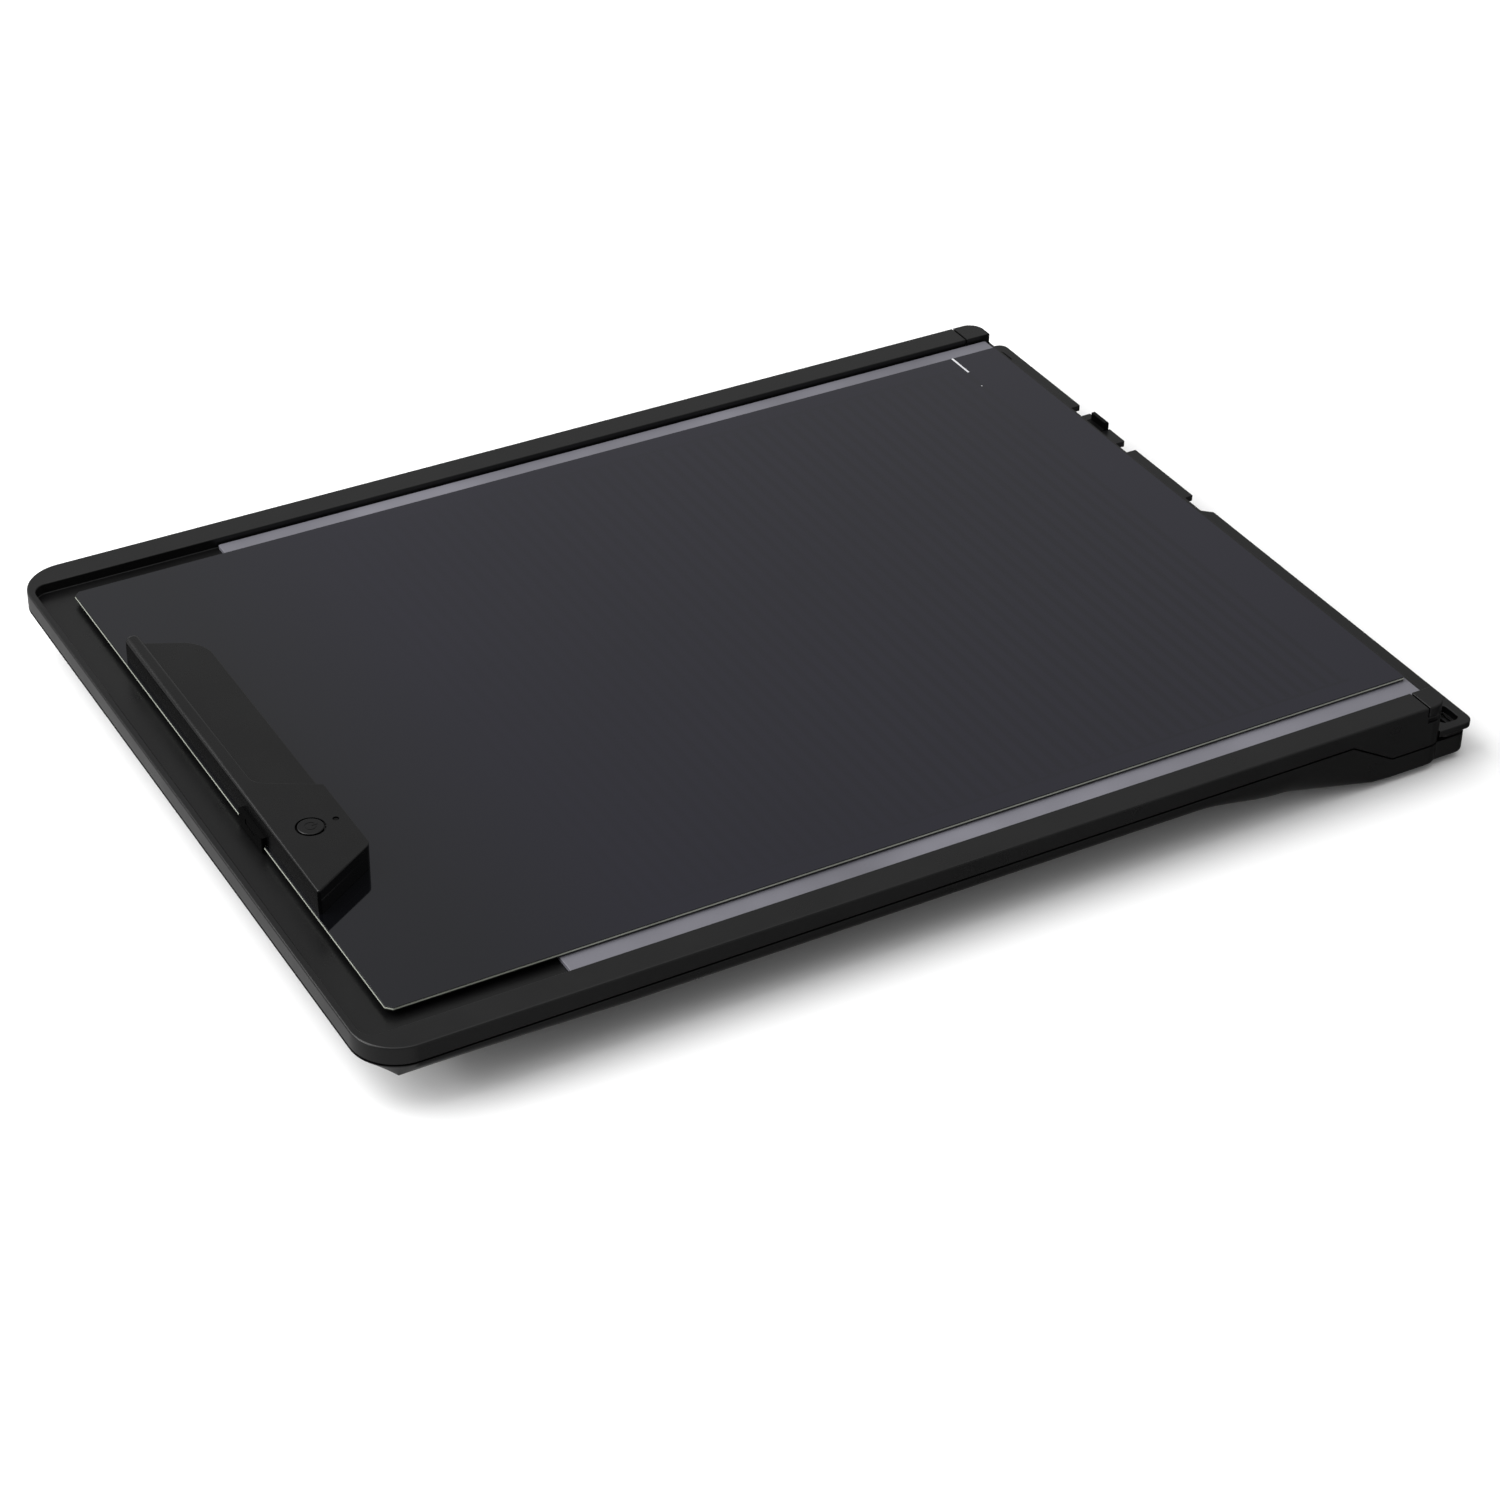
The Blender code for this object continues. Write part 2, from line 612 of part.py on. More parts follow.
def make_mat(frame, core_material, comb_material, film_material):
    core = dress(plate("mat_core", mat_plan(), MAT_UNDER, CORE_TOP, frame), core_material)
    comb_low = CORE_TOP + FILM_GAP
    comb_high = comb_low + COMB_THICKNESS
    near = comb_outline(0, COMB_NEAR_BUS, COMB_FAR_BUS - COMB_TIP_CLEARANCE,
                        COMB_FIRST_LINE - 1, NEAR_BUS_END)
    far = comb_outline(1, COMB_FAR_BUS, COMB_NEAR_BUS + COMB_TIP_CLEARANCE, FAR_BUS_START,
                       FAR_BUS_END)
    dress(extrude("electrode_comb_near", near, comb_low, comb_high, frame), comb_material)
    dress(extrude("electrode_comb_far", far, comb_low, comb_high, frame), comb_material)
    film = dress(plate("mat_face_film", mat_plan(0.4), -FILM_THICKNESS, 0.0, frame),
                 film_material)
    for number, spot in enumerate(HANDLE_SCREW_SPOTS):
        cutter = post(f"cut_mat_hole_{number}", spot, 1.5, -BEYOND, BEYOND, frame, 12)
        cut(core, cutter)
        cut(film, cutter)


# ---- handle ------------------------------------------------------------------------------------
def handle_plan(clearance=0.0):
    corners = [(HANDLE_LEFT, -99.8, 1), (HANDLE_RIGHT, -79.8, 5), (HANDLE_RIGHT, 91.8, 16),
               (HANDLE_LEFT, 107, 2)]
    return inset(corners, clearance)


def raised_plan(clearance=0.0):
    """The full-height part: the ridge along the left edge and the plateau at the near end."""
    corners = [(HANDLE_LEFT, -99.8, 1), (HANDLE_RIGHT, -79.8, 5),
               (HANDLE_RIGHT, PLATEAU_FAR, 1), (RIDGE_RIGHT, PLATEAU_FAR + 14.3, 8),
               (RIDGE_RIGHT, RIDGE_FAR, 4), (HANDLE_LEFT, RIDGE_FAR + 3.1, 2)]
    return inset(corners, clearance)


def make_handle_top(frame, material):
    case = plate("handle_top_case", handle_plan(), HANDLE_BOTTOM, WING_TOP, frame)
    add(case, plate("add_raised", raised_plan(OFFSET), HANDLE_BOTTOM + 0.5, HANDLE_TOP, frame))
    cut(case, plate("cut_wing_inside", handle_plan(HANDLE_WALL), -1, WING_TOP - 1.5, frame))
    cut(case, plate("cut_raised_inside", raised_plan(HANDLE_WALL + OFFSET), -0.5,
                    HANDLE_TOP - 1.6, frame))
    cut(case, block("cut_tab_window", HANDLE_LEFT - 5, TAB_NEAR - GAP, HANDLE_LEFT + 3,
                    TAB_FAR + GAP, -1, TAB_TOP + GAP, frame))
    cut(case, post("cut_button_hole", BUTTON, BUTTON_HOLE_RADIUS, 8, 14, frame, 32))
    cut(case, post("cut_indicator_hole", INDICATOR, INDICATOR_HOLE_RADIUS, 8, 14, frame, 16))
    ceilings = [HANDLE_TOP - 1.6, WING_TOP - 1.5, WING_TOP - 1.5]
    for number, (spot, ceiling) in enumerate(zip(HANDLE_SCREW_SPOTS, ceilings)):
        add(case, post(f"add_case_boss_{number}", spot, 2.5, HANDLE_FLOOR_TOP + GAP, ceiling + 0.5,
                       frame, 16))
        cut(case, post(f"cut_case_pilot_{number}", spot, 1.2, -1, 4.6, frame, 12))
    return dress(case, material)


def make_handle_bottom(frame, material):
    """The handle's floor, with the tab that runs out through the case and laps the mat's edge."""
    case = plate("handle_bottom_case", handle_plan(HANDLE_WALL + GAP), HANDLE_BOTTOM,
                 HANDLE_FLOOR_TOP, frame)
    tab_right = HANDLE_LEFT - GAP
    add(case, block("add_tab_bridge", TAB_LEFT + 1, TAB_NEAR, HANDLE_LEFT + 3, TAB_FAR,
                    HANDLE_BOTTOM, TAB_TOP, frame))
    add(case, plate("add_tab", rectangle(TAB_LEFT, TAB_NEAR, tab_right, TAB_FAR, 0.6), TAB_BOTTOM,
                    TAB_TOP, frame))
    cut(case, block("cut_inlet_window", TAB_LEFT - 5, INLET_NEAR - 0.2, HANDLE_LEFT + 6,
                    INLET_FAR + 0.2, HANDLE_BOTTOM + 0.4, TAB_TOP - 0.7, frame))
    for number, spot in enumerate(HANDLE_SCREW_SPOTS):
        cut(case, post(f"cut_floor_hole_{number}", spot, 1.5, -BEYOND, BEYOND, frame, 12))
    for number, spot in enumerate(PIN_SPOTS):
        cut(case, post(f"cut_pin_hole_{number}", spot, 1.1, -BEYOND, BEYOND, frame, 12))
    for number, y in enumerate((-68, -8)):
        add(case, block(f"add_board_rib_{number}", -234, y - 0.8, -211, y + 0.8,
                        HANDLE_FLOOR_TOP - 0.5, BOARD_BOTTOM - GAP, frame))
    return dress(case, material)


def make_handle_insides(frame, materials):
    board_corners = [(-233.5, -76, 0), (-210.5, -72, 1), (-210.5, -5, 1), (-233.5, -5, 1)]
    dress(plate("control_board", board_corners, BOARD_BOTTOM, BOARD_TOP, frame),
          materials["board"])
    switch = block("button_switch", BUTTON[0] - 3, BUTTON[1] - 3, BUTTON[0] + 3, BUTTON[1] + 3,
                   BOARD_TOP + 0.2, 6.0, frame)
    add(switch, post("add_switch_plunger", BUTTON, 1.6, 5.5, 7.0, frame, 16))
    dress(switch, materials["switch"])
    dress(block("status_led", INDICATOR[0] - 1, INDICATOR[1] - 0.7, INDICATOR[0] + 1,
                INDICATOR[1] + 0.7, BOARD_TOP + 0.2, 4.4, frame), materials["lamp"])
    dress(post("status_light_pipe", INDICATOR, INDICATOR_HOLE_RADIUS - GAP, 4.7,
               HANDLE_TOP - 0.4, frame, 16), materials["light_pipe"])
    dress(plate("hv_module", rectangle(-231.5, 55, -210.2, 81, 1), 1.9, 4.9, frame),
          materials["potting"])
    dress(plate("battery_pack", rectangle(-231.5, 7, -210.2, 51, 2), 1.8, 4.9, frame),
          materials["cell"])
    dress(plate("charging_inlet", rectangle(TAB_LEFT + 0.3, INLET_NEAR, HANDLE_LEFT + 4.6,
                INLET_FAR, 0), HANDLE_BOTTOM + 0.7, TAB_TOP - 1.0, frame), materials["steel"])
    for number, spot in enumerate(PIN_SPOTS, start=1):
        dress(post(f"contact_pin_{number}", spot, 0.8, 0.2, 1.7, frame, 12), materials["gold"])
    for number, spot in enumerate(HANDLE_SCREW_SPOTS, start=1):
        dress(make_screw(f"handle_screw_{number}", spot, 2.2, MAT_UNDER - 1.0, MAT_UNDER - 0.2,
                         0.9, 4.2, frame), materials["steel"])


def make_button(frame, material):
    axis = make_empty("button_axis", (*BUTTON, HANDLE_TOP), frame)
    button = post("power_button", (0, 0), BUTTON_RADIUS, 8.2 - HANDLE_TOP, BUTTON_TOP - HANDLE_TOP,
                  axis, 32)
    add(button, post("add_button_flange", (0, 0), 7.2, 8.2 - HANDLE_TOP, 9.4 - HANDLE_TOP, axis,
                     32))
    dress(button, material)


# ---- assembly ----------------------------------------------------------------------------------
def clear_scene():
    for item in list(bpy.data.objects):
        bpy.data.objects.remove(item, do_unlink=True)


def build():
    clear_scene()
    datum = make_empty("tray_datum", (DATUM_X, 0, DATUM_Z))
    mat_slide = make_empty("mat_slide_axis", (0, 0, 0), datum)

    tray_plastic = make_material("tray_plastic", (0.035, 0.036, 0.038), 0.45)
    cap_plastic = make_material("cap_plastic", (0.030, 0.031, 0.033), 0.42)
    make_deck_shell(datum, tray_plastic)
    make_base_shell(datum, make_material("base_plastic", (0.032, 0.033, 0.035), 0.5))
    make_glide_strips(datum, make_material("glide_tape", (0.20, 0.20, 0.21), 0.35))
    make_rail_cap("near_rail_cap", NEAR_CAP_LEFT, -1, datum, cap_plastic)
    make_rail_cap("far_rail_cap", FAR_CAP_LEFT, 1, datum, cap_plastic)
    make_feet(datum, make_material("leg_plastic", (0.02, 0.02, 0.02), 0.5),
              make_material("pad_rubber", (0.015, 0.015, 0.015), 0.85))
    steel = make_material("zinc_steel", (0.55, 0.55, 0.55), 0.35, 1.0)
    make_base_screws(datum, steel)
    make_latch(datum, make_material("latch_plastic", (0.01, 0.01, 0.01), 0.4))
    make_coil("latch_spring", (251.0, (LATCH_NEAR + LATCH_FAR) / 2), 1.8, 0.5,
              base_floor(251.0) + 0.1, LATCH_BOTTOM - 0.1, 4, datum,
              make_material("spring_steel", (0.5, 0.5, 0.5), 0.3, 1.0))

    make_mat(mat_slide, make_material("glass_epoxy", (0.62, 0.72, 0.55), 0.4),
             make_material("printed_silver", (0.30, 0.30, 0.32), 0.4, 0.8),
             make_material("gloss_film", (0.012, 0.012, 0.014), 0.08))
    case_plastic = make_material("case_plastic", (0.012, 0.012, 0.013), 0.4)
    make_handle_top(mat_slide, case_plastic)
    make_handle_bottom(mat_slide, case_plastic)
    make_handle_insides(mat_slide, {
        "board": make_material("circuit_board", (0.02, 0.12, 0.05), 0.5),
        "switch": make_material("switch_plastic", (0.02, 0.02, 0.02), 0.5),
        "lamp": make_material("lamp_resin", (0.8, 0.8, 0.7), 0.3),
        "light_pipe": make_material("clear_pipe", (0.75, 0.78, 0.8), 0.15),
        "potting": make_material("potting_resin", (0.03, 0.03, 0.03), 0.6),
        "cell": make_material("cell_foil", (0.6, 0.6, 0.62), 0.35, 0.9),
        "steel": steel,
        "gold": make_material("contact_gold", (0.8, 0.6, 0.25), 0.25, 1.0),
    })
    make_button(mat_slide, make_material("button_plastic", (0.014, 0.014, 0.015), 0.35))


build()
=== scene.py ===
"""Looks for the electrostatic sheet mat on its docking feed tray.

Shapes are drawn in millimetres from one datum, the middle of the mat's glossy face, with +X
towards the dock, +Y towards the far rail and +Z up. DATUM says where that point is in the frame.
"""
import bpy
import bmesh
from math import cos, sin, tan, pi, radians, degrees
from mathutils import Matrix, Vector


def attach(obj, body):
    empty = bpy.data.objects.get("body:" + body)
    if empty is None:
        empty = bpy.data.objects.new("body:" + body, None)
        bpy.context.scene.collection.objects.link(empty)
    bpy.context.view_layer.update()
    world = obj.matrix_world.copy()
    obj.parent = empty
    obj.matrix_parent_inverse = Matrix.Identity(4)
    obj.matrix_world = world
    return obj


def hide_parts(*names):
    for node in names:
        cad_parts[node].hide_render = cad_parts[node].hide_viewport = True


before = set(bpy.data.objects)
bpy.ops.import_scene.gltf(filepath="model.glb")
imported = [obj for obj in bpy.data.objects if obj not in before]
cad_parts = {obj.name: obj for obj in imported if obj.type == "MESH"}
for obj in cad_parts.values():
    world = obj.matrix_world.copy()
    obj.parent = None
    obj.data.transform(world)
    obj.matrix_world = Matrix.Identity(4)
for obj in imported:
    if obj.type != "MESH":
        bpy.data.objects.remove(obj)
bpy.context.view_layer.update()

MM = 0.001
DATUM = Vector((-0.0018, 0.0, 0.033))
GAP = 0.3
LINE_DEPTH = 0.35          # widens the dark line between the mouldings
BEYOND = 30.0              # how far a cutter runs past the piece it cuts
SHARP_ANGLE = 28           # degrees from which an edge is rounded
ROUNDING_SEGMENTS = 3
scene = bpy.context.scene
scene.view_settings.view_transform = "Standard"

# ---- sizes, millimetres from the datum ---------------------------------------------------------
TRAY_LEFT, TRAY_RIGHT, TRAY_HALF = -258.2, 245.0, 190.1
TRAY_LEFT_CORNER, TRAY_RIGHT_CORNER = 20.0, 8.0
RAIL_TOP, RAIL_INNER, RIM_INNER = 0.7, 176.8, -255.0
NEAR_CAP_LEFT, FAR_CAP_LEFT = 234.2, 231.5
DECK_TOP, DECK_UNDER, WALL = -4.2, -6.5, 2.2
CAP_SEAT = DECK_TOP - 0.1
PARTING, PARTING_DOCK = -7.5, -20.0
RAMP_START, RAMP_END = 195.0, 217.0
LEDGE_TOP, LEDGE_THICKNESS, LEDGE_RIGHT = -15.5, 3.0, 261.8
LEDGE_NEAR, LEDGE_FAR, LEDGE_CORNER, LEDGE_LEFT = -188.4, 189.5, 4.5, 243.2
DEEP_NOTCH, DEEP_NOTCH_SPANS = 256.0, [(71, 80), (110.3, 119)]
SHALLOW_NOTCH, SHALLOW_NOTCH_SPAN, SHALLOW_NOTCH_SLANT = 257.3, (6, 23), 4
SOCKET_LEFT, SOCKET_RIGHT, SOCKET_MOUTH_RIGHT, SOCKET_FLOOR = 248.0, 253.8, 257.3, -26.0
SOCKET_OUTER, SOCKET_INNER, SOCKET_CORNER = -184.0, -172.5, 2.5
SIDE_SLOT_LEFT, SIDE_SLOT_RIGHT = 234, 241
RAIL_HOLLOW_LEFT, RAIL_HOLLOW_RIGHT = -236, 229
BASE_RIGHT, BASE_DOCK_HALF, BASE_WALL = 258.5, 188.5, 2.4
SHALLOW_BOTTOM, BELLY_BOTTOM = -16.5, -31.0
BELLY_START, BELLY_END = 115.0, 170.0
SHALLOW_SIDE_TOP, LEFT_LEAN, SIDE_LEAN, ROUND_SIDE_START = PARTING - 0.5, 13.6, 0.756, -200.0
CREASE_START, CREASE_END, CREASE_LOW, DOCK_CREASE = 168.0, 208.0, -27.0, -28.0
STRIP_LEFT, STRIP_RIGHT = -167.0, 241.5
STRIP_INNER, STRIP_OUTER, STRIP_TOP = 160.0, 175.6, -2.1
MAT_HALF_LENGTH, MAT_HALF_WIDTH, MAT_CHAMFER = 240.0, 165.0, 2.6
MAT_UNDER, CORE_TOP, MAT_SHARP_CORNER = -1.6, -0.42, 1.2
COMB_FIRST, COMB_PITCH, COMB_LINES = -129.5, 6.73, 52
HANDLE_LEFT, HANDLE_RIGHT = -238.8, -207.5
HANDLE_TOP, WING_TOP, HANDLE_BOTTOM, HANDLE_WALL = 11.5, 6.8, 0.1, 1.6
BUTTON, BUTTON_RADIUS, BUTTON_HOLE, BUTTON_TOP = (-224.0, -58.7), 5.7, 6.15, 11.8
INDICATOR, INDICATOR_HOLE = (-212.9, -58.3), 1.35
RIDGE_RIGHT, RIDGE_FAR, PLATEAU_FAR = -232.3, 104.6, -34.2
HANDLE_LEFT_NEAR, HANDLE_RIGHT_NEAR = -99.8, -79.8
WING_LEFT_FAR, WING_RIGHT_FAR = 107.0, 91.8
PLATEAU_SLANT = 14.3       # how far the plateau's edge runs on before it meets the ridge
TAB_NEAR, TAB_FAR, TAB_TOP = -47.5, -23.5, 4.0
LATCH_NEAR, LATCH_FAR, LATCH_TOP, LATCH_BOTTOM = 93.5, 105.0, -11.5, -22.0
LATCH_FOOT_LEFT, LATCH_COLUMN_LEFT = 248.5, 254.0
LATCH_TOOTH_LEFT, LATCH_RIGHT = 258.6, 261.3
FOOT_X, FOOT_Y, LEG_RADIUS, PAD_RADIUS, PAD_THICKNESS, GROUND = 190, 130, 11, 10, 2.0, -33.0
SCREW_SPOTS = [(-215, -120), (-215, 120), (40, -120), (40, 120), (205, -120), (205, 120)]


# ---- outlines ----------------------------------------------------------------------------------
def rounded(corners, steps=10):
    """Points of a closed outline whose corners are (x, y, radius); a radius of 0 stays sharp."""
    points = []
    count = len(corners)
    for index, (x, y, radius) in enumerate(corners):
        corner = Vector((x, y))
        if radius <= 0:
            points.append((x, y))
            continue
        before = (Vector(corners[index - 1][:2]) - corner).normalized()
        after = (Vector(corners[(index + 1) % count][:2]) - corner).normalized()
        half_angle = before.angle(after) / 2
        reach = radius / tan(half_angle)
        centre = corner + (before + after).normalized() * (radius / sin(half_angle))
        start = corner + before * reach - centre
        sweep = start.angle_signed(corner + after * reach - centre)
        for step in range(steps + 1):
            turn = -sweep * step / steps
            points.append((centre.x + start.x * cos(turn) - start.y * sin(turn),
                           centre.y + start.x * sin(turn) + start.y * cos(turn)))
    return points


def inset(corners, distance):
    """The same counterclockwise corners moved inwards, with their radii kept concentric."""
    moved = []
    count = len(corners)
    for index, (x, y, radius) in enumerate(corners):
        corner = Vector((x, y))
        along_in = (corner - Vector(corners[index - 1][:2])).normalized()
        along_out = (Vector(corners[(index + 1) % count][:2]) - corner).normalized()
        inward_in = Vector((-along_in.y, along_in.x))
        inward_out = Vector((-along_out.y, along_out.x))
        shift = (inward_in + inward_out) * (distance / (1 + inward_in.dot(inward_out)))
        convex = along_in.cross(along_out) > 0
        new_radius = radius - distance if convex else radius + distance
        moved.append((x + shift.x, y + shift.y, max(new_radius, 0.0)))
    return moved


def shifted(corners, distances, widths=None, share=0.0):
    """Corners whose edge i, the one that ends at corner i, moves inwards by distances[i].

    widths, one for each corner, move that corner inwards by share of its own width as well.
    """
    moved = []
    count = len(corners)
    for index, (x, y, radius) in enumerate(corners):
        corner = Vector((x, y))
        along_in = (corner - Vector(corners[index - 1][:2])).normalized()
        along_out = (Vector(corners[(index + 1) % count][:2]) - corner).normalized()
        own = widths[index] * share if widths else 0.0
        first = distances[index] + own
        second = distances[(index + 1) % count] + own
        inward_in = Vector((-along_in.y, along_in.x))
        inward_out = Vector((-along_out.y, along_out.x))
        cross = inward_in.x * inward_out.y - inward_in.y * inward_out.x
        moved.append((x + (first * inward_out.y - second * inward_in.y) / cross,
                      y + (second * inward_in.x - first * inward_out.x) / cross,
                      max(radius - own if cross > 0 else radius + own, 0.02)))
    return moved


def rectangle(left, near, right, far, radius=0.0):
    return [(left, near, radius), (right, near, radius), (right, far, radius), (left, far, radius)]


def circle(centre, radius, sides=48):
    return [(centre[0] + radius * cos(2 * pi * side / sides),
             centre[1] + radius * sin(2 * pi * side / sides)) for side in range(sides)]


def smooth_step(value, start, end):
    share = min(max((value - start) / (end - start), 0.0), 1.0)
    return share * share * (3 - 2 * share)


def ramp(value, start, end, first, last):
    share = min(max((value - start) / (end - start), 0.0), 1.0)
    return first + (last - first) * share


# ---- mesh helpers ------------------------------------------------------------------------------
def finish_mesh(name, builder):
    bmesh.ops.recalc_face_normals(builder, faces=builder.faces)
    builder.transform(Matrix.Translation(DATUM) @ Matrix.Scale(MM, 4))
    mesh = bpy.data.meshes.new(name)
    builder.to_mesh(mesh)
    builder.free()
    piece = bpy.data.objects.new(name, mesh)
    bpy.context.collection.objects.link(piece)
    return piece


def extrude(name, points, low, high, upright=True):
    builder = bmesh.new()
    if upright:
        ring = [builder.verts.new((x, y, low)) for x, y in points]
        travel = (0, 0, high - low)
    else:
        ring = [builder.verts.new((x, low, z)) for x, z in points]
        travel = (0, high - low, 0)
    face = builder.faces.new(ring)
    raised = bmesh.ops.extrude_face_region(builder, geom=[face])
    top = [item for item in raised["geom"] if isinstance(item, bmesh.types.BMVert)]
    bmesh.ops.translate(builder, verts=top, vec=travel)
    return finish_mesh(name, builder)


def loft(name, rings):
    """A closed solid through rings of equal length, bottom first."""
    builder = bmesh.new()
    rows = [[builder.verts.new(point) for point in ring] for ring in rings]
    for lower, upper in zip(rows, rows[1:]):
        for index in range(len(lower)):
            after = (index + 1) % len(lower)
            builder.faces.new((lower[index], lower[after], upper[after], upper[index]))
    builder.faces.new(rows[0])
    builder.faces.new(rows[-1])
    return finish_mesh(name, builder)


def plate(name, corners, low, high, steps=10):
    return extrude(name, rounded(corners, steps), low, high)


def block(name, left, near, right, far, low, high):
    return extrude(name, rounded(rectangle(left, near, right, far)), low, high)


def post(name, centre, radius, low, high, sides=48):
    return extrude(name, circle(centre, radius, sides), low, high)


def bake(piece):
    """Apply the piece's modifiers to its mesh."""
    bpy.context.view_layer.update()
    graph = bpy.context.evaluated_depsgraph_get()
    result = bpy.data.meshes.new_from_object(piece.evaluated_get(graph), depsgraph=graph)
    piece.modifiers.clear()
    piece.data = result


def combine(piece, operand, operation):
    modifier = piece.modifiers.new("boolean", "BOOLEAN")
    modifier.operation = operation
    modifier.solver = "EXACT"
    modifier.object = operand
    bake(piece)
    bpy.data.objects.remove(operand)


def cut(piece, *cutters):
    for cutter in cutters:
        combine(piece, cutter, "DIFFERENCE")


def add(piece, *additions):
    for addition in additions:
        combine(piece, addition, "UNION")


def both_sides(name, near_corners):
    mirrored = [(x, -y, radius) for x, y, radius in reversed(near_corners)]
    return ("near_" + name, near_corners), ("far_" + name, mirrored)


def soften(piece, width, rule=None):
    """Round every sharp edge; rule(x, y, z) may give an edge its own width.

    Faces in one plane are joined first, which suits a shape with no hole through a face.
    """
    mesh = piece.data
    builder = bmesh.new()
    builder.from_mesh(mesh)
    bmesh.ops.remove_doubles(builder, verts=builder.verts, dist=0.002 * MM)
    bmesh.ops.dissolve_limit(builder, angle_limit=radians(0.6), verts=builder.verts,
                             edges=builder.edges)
    weights = builder.edges.layers.float.get("bevel_weight_edge")
    if weights is None:
        weights = builder.edges.layers.float.new("bevel_weight_edge")
    widest = width
    wanted = {}
    for edge in builder.edges:
        if len(edge.link_faces) != 2 or degrees(edge.calc_face_angle(0)) < SHARP_ANGLE:
            continue
        middle = ((edge.verts[0].co + edge.verts[1].co) / 2 - DATUM) / MM
        own = rule(*middle) if rule else None
        own = width if own is None else own
        if own > 0:
            wanted[edge] = own
            widest = max(widest, own)
    for edge, own in wanted.items():
        edge[weights] = own / widest
    for face in builder.faces:
        face.smooth = True
    builder.to_mesh(mesh)
    builder.free()
    bevel = piece.modifiers.new("soften", "BEVEL")
    bevel.limit_method = "WEIGHT"
    bevel.width = widest * MM
    bevel.segments = ROUNDING_SEGMENTS
    bevel.use_clamp_overlap = False
    bevel.harden_normals = True
    bake(piece)


def smooth(piece, angle):
    piece.data.shade_smooth()
    piece.data.set_sharp_from_angle(angle=radians(angle))
    normals = piece.modifiers.new("face_weighted_normals", "WEIGHTED_NORMAL")
    normals.keep_sharp = True
    normals.weight = 90


def show(piece, body, slot, material, *nodes):
    piece.data.materials.clear()
    piece.data.materials.append(material)
    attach(piece, body)
    if nodes:
        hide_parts(*nodes)
    return piece


# ---- materials ---------------------------------------------------------------------------------
class Nodes:
    """A short way to write a material's node tree."""

    def __init__(self, name):
        self.material = bpy.data.materials.new(name)
        self.material.use_nodes = True
        self.tree = self.material.node_tree
        self.shader = self.tree.nodes["Principled BSDF"]
        self.place = self.tree.nodes.new("ShaderNodeTexCoord").outputs["Object"]

    def link(self, source, target):
        self.tree.links.new(source, target)

    def node(self, kind, **settings):
        made = self.tree.nodes.new("ShaderNode" + kind)
        for key, value in settings.items():
            setattr(made, key, value)
        return made

    def noise(self, scale, detail=4.0, roughness=0.6, stretch=None):
        made = self.node("TexNoise")
        made.inputs["Scale"].default_value = scale
        made.inputs["Detail"].default_value = detail
        made.inputs["Roughness"].default_value = roughness
        source = self.place
        if stretch:
            mapping = self.node("Mapping")
            mapping.inputs["Scale"].default_value = stretch
            self.link(source, mapping.inputs["Vector"])
            source = mapping.outputs["Vector"]
        self.link(source, made.inputs["Vector"])
        return made.outputs["Fac"]

    def spread(self, source, low, high, out_low, out_high):
        made = self.node("MapRange")
        for name, value in (("From Min", low), ("From Max", high), ("To Min", out_low),
                            ("To Max", out_high)):
            made.inputs[name].default_value = value
        self.link(source, made.inputs["Value"])
        return made.outputs["Result"]

    def math(self, operation, first, second):
        made = self.node("Math", operation=operation)
        for index, value in enumerate((first, second)):
            if isinstance(value, (int, float)):
                made.inputs[index].default_value = value
            else:
                self.link(value, made.inputs[index])
        return made.outputs[0]

    def blend(self, factor, first, second):
        made = self.node("Mix", data_type="RGBA")
        self.link(factor, made.inputs["Factor"])
        for socket, value in ((made.inputs[6], first), (made.inputs[7], second)):
            if isinstance(value, tuple):
                socket.default_value = (*value, 1.0)
            else:
                self.link(value, socket)
        return made.outputs[2]

    def bump(self, height, strength, distance):
        made = self.node("Bump")
        made.inputs["Strength"].default_value = strength
        made.inputs["Distance"].default_value = distance
        self.link(height, made.inputs["Height"])
        return made.outputs["Normal"]


def moulded(name, colour, roughness, grain=0.25, grain_size=2600, level=0.5):
    """Moulded plastic: fine spark texture, faint cloudiness and slightly uneven gloss."""
    n = Nodes(name)
    cloud = n.noise(14, 3)
    lighter = tuple(min(channel * 1.25 + 0.0004, 1) for channel in colour)
    darker = tuple(channel * 0.82 for channel in colour)
    n.link(n.blend(n.spread(cloud, 0.3, 0.7, 0, 1), darker, lighter), n.shader.inputs["Base Color"])
    patch = n.noise(45, 5)
    n.link(n.spread(patch, 0.3, 0.7, roughness - 0.04, roughness + 0.05),
           n.shader.inputs["Roughness"])
    fine = n.noise(grain_size, 2, 0.5)
    n.link(n.bump(fine, grain, 0.00006), n.shader.inputs["Normal"])
    n.shader.inputs["Specular IOR Level"].default_value = level
    return n.material


def metal(name, colour, roughness, stretch=(1, 1, 1)):
    n = Nodes(name)
    streaks = n.noise(900, 3, 0.6, stretch)
    dark = tuple(channel * 0.8 for channel in colour)
    n.link(n.blend(n.spread(streaks, 0.3, 0.7, 0, 1), dark, colour), n.shader.inputs["Base Color"])
    n.link(n.spread(streaks, 0.3, 0.7, roughness - 0.06, roughness + 0.08),
           n.shader.inputs["Roughness"])
    n.link(n.bump(streaks, 0.15, 0.00003), n.shader.inputs["Normal"])
    n.shader.inputs["Metallic"].default_value = 1.0
    return n.material


def band(n, source, low, high, edge):
    """1 between low and high, falling to 0 over edge."""
    rise = n.spread(source, low - edge, low, 0, 1)
    fall = n.spread(source, high, high + edge, 1, 0)
    return n.math("MULTIPLY", rise, fall)


